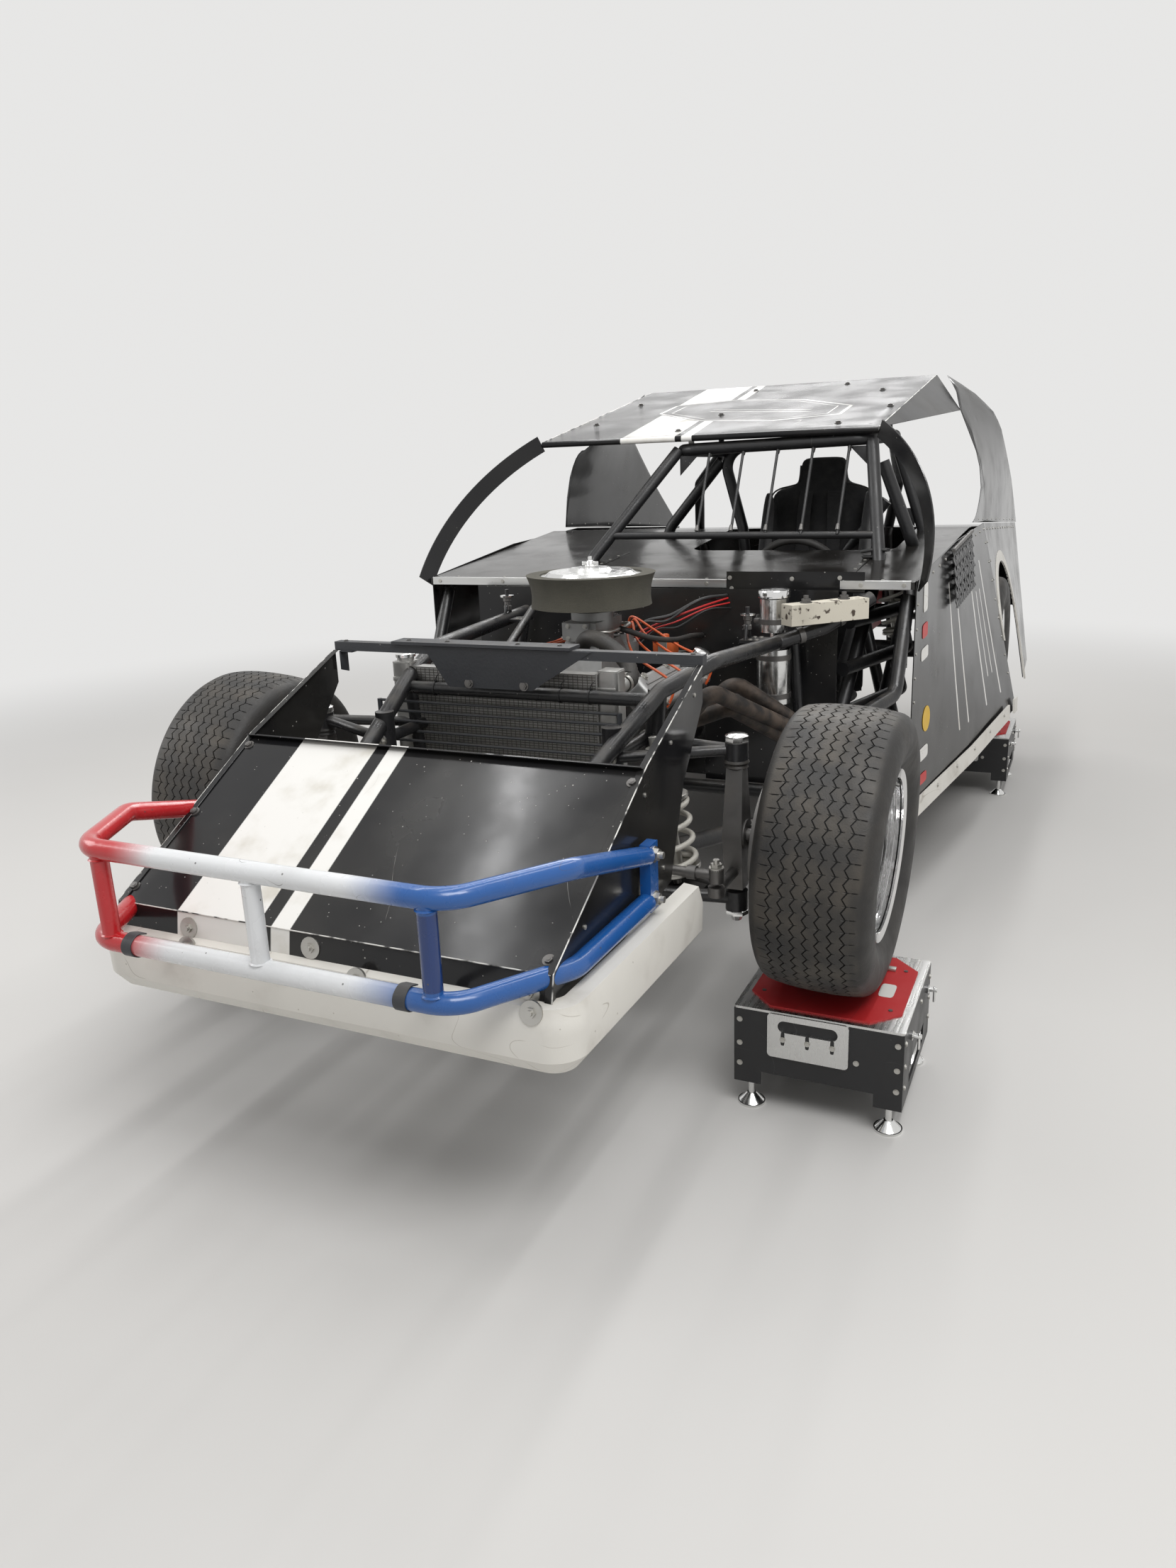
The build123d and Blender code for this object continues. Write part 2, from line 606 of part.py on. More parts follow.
# Air filter: foam ring with concave sides, and its dished lid and stud
FILTER_HALF = 46.0
with BuildPart() as air_filter:
    with BuildSketch(Plane.XZ):
        with BuildLine():
            Line((150, -FILTER_HALF), (FILTER_RADIUS - 12, -FILTER_HALF))
            ThreePointArc((FILTER_RADIUS - 12, -FILTER_HALF), (FILTER_RADIUS - 14, 0),
                          (FILTER_RADIUS, FILTER_HALF))
            Line((FILTER_RADIUS, FILTER_HALF), (150, FILTER_HALF))
            Line((150, FILTER_HALF), (150, -FILTER_HALF))
        make_face()
    revolve(axis=Axis.Z)
finish(air_filter.part.moved(Location((ENGINE_X, CARB_Y, FILTER_Z))), "air_filter")

with BuildPart() as filter_lid:
    with BuildSketch(Plane.XZ):
        with BuildLine():
            Polyline((0, -FILTER_HALF - 3), (60, -FILTER_HALF - 3), (60, -FILTER_HALF - 10),
                     (70, -FILTER_HALF - 10), (72, -FILTER_HALF - 4), (148, -FILTER_HALF - 4),
                     (148, -FILTER_HALF + 4), (0, -FILTER_HALF + 4), close=True)
        make_face()
        with BuildLine():
            Polyline((0, FILTER_HALF + 14), (54, FILTER_HALF + 12), (62, FILTER_HALF + 4),
                     (118, FILTER_HALF + 2), (132, FILTER_HALF - 8), (149, FILTER_HALF - 8),
                     (149, FILTER_HALF - 4), (136, FILTER_HALF - 3), (122, FILTER_HALF + 7),
                     (64, FILTER_HALF + 9), (56, FILTER_HALF + 17), (7, FILTER_HALF + 19),
                     (6, FILTER_HALF + 48), (0, FILTER_HALF + 48), close=True)
        make_face()
        with BuildLine():
            Polyline((0, -FILTER_HALF), (6, -FILTER_HALF), (6, FILTER_HALF + 16),
                     (0, FILTER_HALF + 16), close=True)
        make_face()
    revolve(axis=Axis.Z)
finish(filter_lid.part.moved(Location((ENGINE_X, CARB_Y, FILTER_Z))), "filter_lid")

# Exhaust headers: four pipes a side that rise over the rail and meet behind it
HEADER_PIPE = 46.0
PORTS = (-1075.0, -965.0, -855.0, -745.0)
with BuildPart() as headers:
    for side in (-1, 1):
        for number, port_y in enumerate(PORTS):
            rise = 905 - 62 * (number % 2) - 8 * number
            out = 420 + 24 * (number % 2)
            add(bar([(ENGINE_X + side * 238, port_y, 776), (side * 345, port_y, 800),
                     (side * out, port_y + 40, rise),
                     (side * (610 + 26 * (number // 2)), -640 + 20 * (number % 2),
                      690 - 52 * (number % 2))],
                    HEADER_PIPE, 45))
        add(bar([(side * 590, -665, 690), (side * 640, -560, 610), (side * 660, 60, 520)], 92, 70))
finish(headers.part, "headers")

# Gearbox and driveshaft
with BuildPart() as driveline:
    add(bar([(ENGINE_X, -500, CRANK_Z), (ENGINE_X, -150, CRANK_Z - 6)], 170))
    add(bar([(ENGINE_X, -150, CRANK_Z - 6), (ENGINE_X, -60, CRANK_Z - 6)], 90))
    add(bar([(ENGINE_X, -60, CRANK_Z - 6), (ENGINE_X, REAR_AXLE_Y - 190, REAR_WHEEL_Z)], 70))
finish(driveline.part, "driveline")

# Firewall across the car, with the raised cover in front of the deck
TUNNEL_HALF = 190.0
with BuildPart() as firewall:
    with Locations((0, FIREWALL_Y + 40, 0)):
        with Locations((0, 0, 790)):
            Box(1280, SHEET, 640)
        with Locations((ENGINE_X, 0, 600)):
            Box(2 * TUNNEL_HALF, SHEET + 2, 400, mode=Mode.SUBTRACT)
    add(plate([(269, DECK_FRONT_Y - 4, 1162), (712, DECK_FRONT_Y - 4, 1162),
               (712, DECK_FRONT_Y - 4, 1100),
               (269, DECK_FRONT_Y - 4, 1100)], SHEET))
    with Locations((0, 100, RAIL_Z + 28)):
        Box(1090, 1060, SHEET)
finish(firewall.part, "firewall")

# Deck: cowl, the shelves beside and behind the cockpit, and the tail
BELT = ((-385.0, DECK_FRONT_Z), (690.0, 1236.0), (2435.0, 1127.0))
COCKPIT = (-60.0, 700.0, 170.0, 980.0)
with BuildPart() as deck:
    with BuildSketch(Plane.YZ.offset(-DECK_HALF_WIDTH - 60)):
        with BuildLine():
            Polyline((DECK_FRONT_Y - 3, DECK_FRONT_Z - 24), (DECK_FRONT_Y - 3, DECK_FRONT_Z - 2),
                     (690, 1222), (2400, 1118), (2400, 1118 - SHEET), (690, 1222 - SHEET),
                     (DECK_FRONT_Y, DECK_FRONT_Z - 5), (DECK_FRONT_Y, DECK_FRONT_Z - 24),
                     close=True)
        make_face()
    extrude(amount=2 * (DECK_HALF_WIDTH + 60))
    with BuildSketch(Plane.XY.offset(1000)):
        with BuildLine():
            Polyline((855, -600), (1200, -600), (1200, 2600), (920, 2600), (893, 690), close=True)
        make_face()
        mirror(about=Plane.YZ)
        with Locations(((COCKPIT[0] + COCKPIT[1]) / 2, (COCKPIT[2] + COCKPIT[3]) / 2)):
            RectangleRounded(COCKPIT[1] - COCKPIT[0], COCKPIT[3] - COCKPIT[2], 60)
    extrude(amount=300, mode=Mode.SUBTRACT)
finish(deck.part, "deck")

# Roll cage, set over to the driver's side: hoop, halo, posts and braces
HALO_Z = 1555.0
HOOP_Y = 610.0
CAGE = [
    ([(90, HOOP_Y, RAIL_Z + 20), (15, HOOP_Y, 1230), (-75, HOOP_Y, 1548), (610, HOOP_Y, 1575),
      (735, HOOP_Y, 1210), (590, HOOP_Y, RAIL_Z + 20)], 80),
    ([(-68, HOOP_Y, 1535), (-97, 150, 1545), (620, 150, 1560), (612, HOOP_Y, 1568)], 70),
    ([(-97, 165, 1545), (-365, -60, 1165), (-420, -440, RAIL_Z + 20)], 90),
    ([(612, 165, 1560), (683, -15, 1150), (600, -440, RAIL_Z + 20)], 90),
    ([(-75, HOOP_Y, 1500), (-300, HOOP_Y, 1240), (-545, HOOP_Y, RAIL_Z + 20)], 90),
    ([(-70, HOOP_Y, 1535), (-320, 1040, 1400), (-420, 1330, 1160), (-430, 1690, 790)], 90),
    ([(608, HOOP_Y, 1560), (560, 1060, 1400), (470, 1340, 1160), (430, 1690, 790)], 90),
    ([(90, HOOP_Y, 700), (590, HOOP_Y, 1330)], 0),
    ([(640, 230, 1480), (748, 250, 1200), (735, HOOP_Y, 1010)], 60),
]
DOOR_BAR_Z = (560.0, 700.0, 850.0, 1000.0)
ROD_COUNT = 5
WINDSHIELD_BAR = ((-306.0, -14.0, 1249.0), (666.0, 21.0, 1243.0))
with BuildPart() as roll_cage:
    for points, bend in CAGE:
        add(bar(points, CAGE_TUBE, bend))
    for z in DOOR_BAR_Z:
        flare = 0.1 * (z - RAIL_Z)
        add(bar([(604 + flare, -400 + 0.8 * flare, z), (730 + flare, 100, z),
                 (610 + 1.6 * flare, HOOP_Y, z)], CAGE_TUBE, 120))
    add(bar([*WINDSHIELD_BAR], 26))
    for number in range(ROD_COUNT):
        x = 26 + 127 * number
        add(bar([(x, 2, 1248), (x + 6, 150, 1552)], 10))
finish(roll_cage.part, "roll_cage")

# Roof: a sheet that rises to the rear, with turned-down sides
ROOF_FRONT = (642.0, 124.0, 1594.0)
ROOF_REAR = (655.0, 1330.0, 1816.0)
WING_TIP = (784.0, 1122.0, 1662.0)
with BuildPart() as roof:
    front_x, front_y, front_z = ROOF_FRONT
    rear_x, rear_y, rear_z = ROOF_REAR
    add(plate([(-front_x, front_y, front_z), (front_x, front_y, front_z),
               (rear_x, rear_y, rear_z), (-rear_x, rear_y, rear_z)], SHEET))
    for side in (-1, 1):
        add(plate([(side * front_x, front_y, front_z), (side * rear_x, rear_y, rear_z),
                   (side * WING_TIP[0], WING_TIP[1], WING_TIP[2])], SHEET))
    add(bar([(-front_x, front_y, front_z - 8), (front_x, front_y, front_z - 8)], 22))
    for x, y in ((-60, 200), (600, 200), (-60, 560), (600, 560)):
        add(bar([(x, y, HALO_Z - 5), (x, y, front_z + (y - front_y) * 0.184)], 22))
finish(roof.part, "roof")

# Curved roof posts: a broad flat strip each side, from the deck to the roof
STRIP_WIDTH = 62.0
with BuildPart() as roof_posts:
    with BuildLine() as arc:
        ThreePointArc((884, -398, 1120), (826, -110, 1400), (646, 118, 1590))
    with BuildSketch(Plane(origin=arc.line @ 0, x_dir=(-0.35, 1, 0), z_dir=arc.line % 0)):
        Rectangle(STRIP_WIDTH, 5)
    sweep(path=arc.line)
    mirror(about=Plane.YZ)
finish(roof_posts.part, "roof_posts")

# Sides: door, quarter and sail, all sheets lofted through a few upright stations.
# A station is y, then x and z from top to bottom.
WHEEL_ARCH = (1390.0, 600.0, 425.0)
SPLIT_Y = 985.0
DOOR_STATIONS = (
    (-385.0, [(866, 1134), (868, 366)]),
    (300.0, [(893, 1198), (985, 404)]),
    (SPLIT_Y, [(915, 1216), (1088, 458)]),
)
QUARTER_STATIONS = (
    (SPLIT_Y + 3, [(915, 1216), (1088, 458)]),
    (1700.0, [(925, 1171), (1066, 430)]),
    (2435.0, [(933, 1125), (1040, 404)]),
)
SAIL_Z = (1815.0, 1750.0, 1665.0, 1575.0, 1450.0, 1355.0, 1100.0)
SAIL_X = (
    (690.0, (650, 716, 780, 832, 878, 898, 906)),
    (1100.0, (650, 716, 780, 832, 878, 898, 910)),
    (1700.0, (758, 843, 891, 899, 910, 920, 926)),
    (2435.0, (850, 900, 925, 930, 932, 934, 936)),
)
INWARD = (-SHEET, -1.0)

with BuildPart() as doors:
    add(skin(DOOR_STATIONS, (-SHEET, 0)))
    mirror(about=Plane.YZ)
finish(doors.part, "doors")

with BuildPart() as quarters:
    add(skin(QUARTER_STATIONS, (-SHEET, 0)))
    arch_y, arch_z, arch_radius = WHEEL_ARCH
    with BuildSketch(Plane.YZ.offset(800)):
        with Locations((arch_y, arch_z)):
            Circle(arch_radius)
        with Locations((arch_y, arch_z - 200)):
            Rectangle(2 * arch_radius, 400)
    extrude(amount=400, mode=Mode.SUBTRACT)
    mirror(about=Plane.YZ)
finish(quarters.part, "quarters")

with BuildPart() as sails:
    add(skin([(y, list(zip(xs, SAIL_Z))) for y, xs in SAIL_X], INWARD))
    with BuildSketch(Plane.YZ.offset(500)):
        with BuildLine():
            ThreePointArc((700, 1238), (1060, 1455), (1125, 1668))
            Line((1125, 1668), (1340, 1812))
            Line((1340, 1812), (2432, 1128))
            Line((2432, 1128), (700, 1238))
        make_face()
    extrude(amount=600, mode=Mode.INTERSECT)
    mirror(about=Plane.YZ)
finish(sails.part, "sails")

# White plastic skirts along the door bottoms and round the rear wheel openings
with BuildPart() as skirts:
    add(skin([(y, [(line[1][0] + 9, line[1][1] + 52), (line[1][0] + 12, line[1][1] - 6)])
              for y, line in DOOR_STATIONS], (-8, 0)))
    add(skin([(y, [(line[0][0] + 3 + 0.12 * 90, line[0][1] - 60),
                   (line[1][0] + 12, line[1][1] - 6)])
              for y, line in QUARTER_STATIONS], (-8, 0)))
    with BuildSketch(Plane.YZ.offset(700)):
        with Locations((arch_y, arch_z)):
            Circle(arch_radius)
        with Locations((arch_y, arch_z - 200)):
            Rectangle(2 * arch_radius, 400)
    extrude(amount=500, mode=Mode.SUBTRACT)
    with BuildSketch(Plane.YZ.offset(700)):
        with Locations((arch_y + 300, 1000)):
            Rectangle(1700, 1600)
        with Locations((arch_y, arch_z)):
            Circle(arch_radius + 46, mode=Mode.SUBTRACT)
        with Locations((arch_y, arch_z - 200)):
            Rectangle(2 * arch_radius + 92, 400, mode=Mode.SUBTRACT)
        with Locations((SPLIT_Y - 20, 300)):
            Rectangle(80, 400, mode=Mode.SUBTRACT)
    extrude(amount=500, mode=Mode.SUBTRACT)
    mirror(about=Plane.YZ)
finish(skirts.part, "skirts")

# Tail panel between the quarters
with BuildPart() as tail_panel:
    add(plate([(-925, 2408, 1112), (925, 2408, 1112), (985, 2400, 700), (-985, 2400, 700)],
              SHEET))
finish(tail_panel.part, "tail_panel")

# Driver's place: seat shell, steering column and wheel
SEAT_X = 330.0
SEAT_Y = 520.0
with BuildPart() as seat:
    with BuildSketch(Plane.YZ.offset(SEAT_X - 215)):
        with BuildLine():
            Polyline((SEAT_Y - 470, 600), (SEAT_Y - 60, 520), (SEAT_Y + 40, 560),
                     (SEAT_Y + 190, 1330), (SEAT_Y + 120, 1420), (SEAT_Y - 30, 1400),
                     (SEAT_Y - 60, 1200), (SEAT_Y - 90, 900), (SEAT_Y - 430, 760), close=True)
        make_face()
    extrude(amount=430)
    with BuildSketch(Plane.YZ.offset(SEAT_X - 185)):
        with BuildLine():
            Polyline((SEAT_Y - 500, 636), (SEAT_Y - 75, 556), (SEAT_Y + 14, 590),
                     (SEAT_Y + 160, 1330), (SEAT_Y + 100, 1500), (SEAT_Y - 400, 1500), close=True)
        make_face()
    extrude(amount=370, mode=Mode.SUBTRACT)
finish(seat.part, "seat")

COLUMN_LEAN = 22.0
WHEEL_HUB = (330.0, 285.0, 1058.0)
column_dir = (0, cos(radians(COLUMN_LEAN)), sin(radians(COLUMN_LEAN)))
with BuildPart() as steering_wheel:
    with BuildSketch(Plane.XZ):
        with Locations((165, 0)):
            Circle(14)
    revolve(axis=Axis.Z)
    for angle in (90, 210, 330):
        add(bar([(0, 0, -30), (160 * cos(radians(angle)), 160 * sin(radians(angle)), 0)], 18))
    with Locations((0, 0, -24)):
        Cylinder(34, 28)
wheel_place = Plane(origin=WHEEL_HUB, x_dir=(1, 0, 0), z_dir=column_dir).location
finish(steering_wheel.part.moved(wheel_place), "steering_wheel")

with BuildPart() as dash:
    add(plate([(-280, 90, 1168), (660, 90, 1168), (640, 60, 1040), (-280, 60, 1040)], SHEET))
    hub_x, hub_y, hub_z = WHEEL_HUB
    column_rise = sin(radians(COLUMN_LEAN)) / cos(radians(COLUMN_LEAN))
    foot_y = FIREWALL_Y + 42
    add(bar([(hub_x, hub_y - 52, hub_z - 52 * column_rise),
             (hub_x, foot_y, hub_z + (foot_y - hub_y) * column_rise)], 34))
    with Locations((hub_x, 74, 1010)):
        Box(40, 60, 90)
finish(dash.part, "dash")

# Window net folded over the left door, a soft piece
with BuildPart() as window_net:
    add(plate([(903, 120, 1180), (914, 560, 1215), (938, 560, 1010), (928, 120, 980)], 12))
finish(window_net.part, "window_net")

# Fuel cell in its can
with BuildPart() as fuel_cell:
    with Locations((0, 1985, 770)):
        Box(620, 420, 300)
    fillet(fuel_cell.edges().filter_by(Axis.Z), 30)
    with Locations((120, 1985, 925)):
        Cylinder(60, 24)
finish(fuel_cell.part, "fuel_cell")

# Ballast block on the left fender tube, and the two canisters
with BuildPart() as ballast_block:
    with Locations(Location((628, -560, 1062), (0, 0, 48))):
        Box(275, 56, 62)
finish(ballast_block.part, "ballast_block")

with BuildPart() as canisters:
    with Locations((470, -560, 1050)):
        Cylinder(44, 104)
    with Locations((470, -560, 1108)):
        Cylinder(48, 12)
    with Locations((470, -560, 860)):
        Cylinder(52, 170)
    with Locations((470, -560, 970)):
        Cylinder(12, 60)
finish(canisters.part, "canisters")

# Front suspension: upper and lower arms
with BuildPart() as suspension_arms:
    for side in (-1, 1):
        for end_y in (-1500, -1300):
            add(bar([(side * 345, end_y, UPPER_JOINT_Z), (side * (KINGPIN_X - 8), FRONT_AXLE_Y,
                                                         UPPER_JOINT_Z + 14)], 28))
            add(bar([(side * 342, end_y, LOWER_JOINT_Z + 10), (side * KINGPIN_X, FRONT_AXLE_Y,
                                                              LOWER_JOINT_Z - 16)], 34))
        with Locations((side * KINGPIN_X, FRONT_AXLE_Y, UPPER_JOINT_Z + 12)):
            Cylinder(28, 44)
        with Locations((side * KINGPIN_X, FRONT_AXLE_Y, LOWER_JOINT_Z - 20)):
            Cylinder(28, 50)
        with Locations((side * 455, FRONT_AXLE_Y, LOWER_JOINT_Z - 6)):
            Box(150, 130, 16)
finish(suspension_arms.part, "suspension_arms")

# Coil-over units: shock body, rod and a helical spring at each corner
SPRING_RADIUS = 58.0
SPRING_WIRE = 13.0
UNITS = two_sided([
    ([(455, FRONT_AXLE_Y, LOWER_JOINT_Z + 2), (395, FRONT_AXLE_Y, 862)],),
    ([(520, REAR_AXLE_Y + 60, 650), (455, REAR_AXLE_Y + 60, 1010)],),
])
with BuildPart() as shocks:
    for (ends,) in UNITS:
        foot = Vector(*ends[0])
        head = Vector(*ends[1])
        along = head - foot
        for start, stop, size in ((0.0, 1.0, 22), (0.04, 0.5, 46), (0.1, 0.13, 138), (0.93, 0.96, 130)):
            low = foot + along * start
            high = foot + along * stop
            add(bar([tuple(low), tuple(high)], size))
finish(shocks.part, "shocks")

with BuildPart() as springs:
    for (ends,) in UNITS:
        foot = Vector(*ends[0])
        head = Vector(*ends[1])
        along = head - foot
        seat_low = foot + along * 0.13
        tall = along.length * 0.80
        with BuildLine(Plane(origin=seat_low, z_dir=along)) as coil:
            Helix(pitch=tall / 5.2, height=tall - SPRING_WIRE, radius=SPRING_RADIUS,
                  center=(0, 0, SPRING_WIRE / 2))
        with BuildSketch(Plane(origin=coil.line @ 0, z_dir=coil.line % 0)):
            Circle(SPRING_WIRE / 2)
        sweep(path=coil.line)
finish(springs.part, "springs")

# Rear axle: tube housing with its centre section, and the links to the frame
with BuildPart() as rear_axle:
    add(bar([(-640, REAR_AXLE_Y, REAR_WHEEL_Z), (640, REAR_AXLE_Y, REAR_WHEEL_Z)], 76))
    with Locations((ENGINE_X, REAR_AXLE_Y, REAR_WHEEL_Z)):
        Sphere(150)
    add(bar([(ENGINE_X, REAR_AXLE_Y - 180, REAR_WHEEL_Z), (ENGINE_X, REAR_AXLE_Y, REAR_WHEEL_Z)],
            130))
    for side in (-1, 1):
        add(bar([(side * 560, REAR_AXLE_Y, REAR_WHEEL_Z - 90),
                 (side * 560, REAR_AXLE_Y, REAR_WHEEL_Z + 90)], 30))
        add(bar([(side * 560, REAR_AXLE_Y, REAR_WHEEL_Z - 80), (side * 552, 830, 500)], 30))
        add(bar([(side * 520, REAR_AXLE_Y, REAR_WHEEL_Z + 4),
                 (side * 520, REAR_AXLE_Y + 60, REAR_WHEEL_Z + 20)], 40))
finish(rear_axle.part, "rear_axle")
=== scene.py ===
"""Dirt-track stock car on its four scale stands, dressed for the studio.

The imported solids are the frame. Each class below is one sub-assembly of the car. It
holds its sizes in millimetres and builds the pieces that the solids leave out. Shape and
Growth turn them into metres. The studio and all finishes are in metres throughout.
"""

import json
import logging
from dataclasses import dataclass, field
from enum import Enum
from math import cos, pi, radians, sin
from typing import Any, Iterable, Sequence

import bmesh
import bpy
from mathutils import Matrix, Vector

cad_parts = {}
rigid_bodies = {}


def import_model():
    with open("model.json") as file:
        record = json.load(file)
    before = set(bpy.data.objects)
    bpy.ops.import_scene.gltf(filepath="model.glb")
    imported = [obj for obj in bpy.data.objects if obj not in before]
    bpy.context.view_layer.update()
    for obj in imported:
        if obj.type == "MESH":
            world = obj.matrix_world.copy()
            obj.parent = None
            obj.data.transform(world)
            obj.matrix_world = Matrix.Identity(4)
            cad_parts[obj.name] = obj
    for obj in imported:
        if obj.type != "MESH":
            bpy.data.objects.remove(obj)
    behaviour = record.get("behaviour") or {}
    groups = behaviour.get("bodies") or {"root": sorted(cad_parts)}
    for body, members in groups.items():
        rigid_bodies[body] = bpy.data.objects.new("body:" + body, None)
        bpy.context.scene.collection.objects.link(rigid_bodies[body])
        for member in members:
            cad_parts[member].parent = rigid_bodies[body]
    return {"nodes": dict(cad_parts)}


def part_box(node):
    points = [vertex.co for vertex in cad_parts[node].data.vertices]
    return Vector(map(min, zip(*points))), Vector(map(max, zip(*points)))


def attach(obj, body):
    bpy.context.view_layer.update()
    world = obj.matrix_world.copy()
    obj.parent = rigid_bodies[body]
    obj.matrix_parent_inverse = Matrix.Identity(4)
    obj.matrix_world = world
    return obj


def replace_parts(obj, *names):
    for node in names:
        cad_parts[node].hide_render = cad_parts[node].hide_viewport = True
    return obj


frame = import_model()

log = logging.getLogger("stock_car")

Point = tuple[float, float, float]
Tint = tuple[float, float, float, float]
Line = Sequence[Point]
Profile = Sequence[tuple[float, float]]
Settings = dict[str, Any] | None
Sockets = dict[int | str, Any] | None

UP: Point = (0, 0, 1)
DOWN: Point = (0, 0, -1)
SIDES: tuple[tuple[int, str], ...] = ((1, "left"), (-1, "right"))


def tint(red: float, green: float, blue: float) -> Tint:
    """Gives an opaque linear colour."""
    return (red, green, blue, 1.0)


def feed(tree: bpy.types.NodeTree, socket: bpy.types.NodeSocket, value: Any) -> None:
    """Links a Signal or a socket to a socket, or sets the socket's own value.

    Args:
        tree: The tree that holds the socket.
        socket: The socket that is fed.
        value: The Signal, socket or constant.
    """
    value = getattr(value, "socket", value)
    if isinstance(value, bpy.types.NodeSocket):
        tree.links.new(value, socket)
    else:
        socket.default_value = value


def add_node(
    tree: bpy.types.NodeTree, kind: str, settings: Settings = None, sockets: Sockets = None
) -> bpy.types.Node:
    """Adds one node.

    Args:
        tree: The tree that it joins.
        kind: Blender's name of the node type.
        settings: The node's own settings, set before its sockets.
        sockets: Values, Signals or sockets by input name or number.

    Returns:
        The node.
    """
    made = tree.nodes.new(kind)
    for name, value in (settings or {}).items():
        setattr(made, name, value)
    for name, value in (sockets or {}).items():
        feed(tree, made.inputs[name], value)
    return made


class Signal:
    """A shader socket with arithmetic, where each operator adds one Math node."""

    def __init__(self, shading: "Shading", socket: bpy.types.NodeSocket) -> None:
        """Keeps the socket and the material it belongs to."""
        self.shading = shading
        self.socket = socket

    def _math(self, operation: str, first: Any, second: Any = 0.0) -> "Signal":
        """Adds one Math node on Signals or numbers."""
        return self.shading.node("ShaderNodeMath", {"operation": operation}, {0: first, 1: second})

    def __add__(self, other: Any) -> "Signal":
        """Gives self + other."""
        return self._math("ADD", self, other)

    __radd__ = __add__

    def __sub__(self, other: Any) -> "Signal":
        """Gives self - other."""
        return self._math("SUBTRACT", self, other)

    def __rsub__(self, other: Any) -> "Signal":
        """Gives other - self."""
        return self._math("SUBTRACT", other, self)

    def __mul__(self, other: Any) -> "Signal":
        """Gives self * other."""
        return self._math("MULTIPLY", self, other)

    __rmul__ = __mul__

    def __abs__(self) -> "Signal":
        """Gives the size of the value without its sign."""
        return self._math("ABSOLUTE", self)

    def larger(self, other: Any) -> "Signal":
        """Gives the larger of two values."""
        return self._math("MAXIMUM", self, other)

    def limit(self) -> "Signal":
        """Holds the value between 0 and 1."""
        return self._math("MINIMUM", self.larger(0.0), 1.0)

    def rise(self, low: float, high: float) -> "Signal":
        """Turns the value into a soft step.

        Args:
            low: Value at which the step starts.
            high: Value at which it ends; below low, the step falls.

        Returns:
            A signal from 0 to 1.
        """
        flip = high < low
        start, end = (high, low) if flip else (low, high)
        step = self.shading.node(
            "ShaderNodeMapRange",
            {"interpolation_type": "SMOOTHSTEP", "clamp": True},
            {0: self, 1: start, 2: end},
        )
        return 1 - step if flip else step

    def band(self, low: float, high: float, soft: float = 0.0015) -> "Signal":
        """Gives 1 between two values and 0 outside, with soft edges."""
        return self.rise(low - soft, low + soft) * self.rise(high + soft, high - soft)


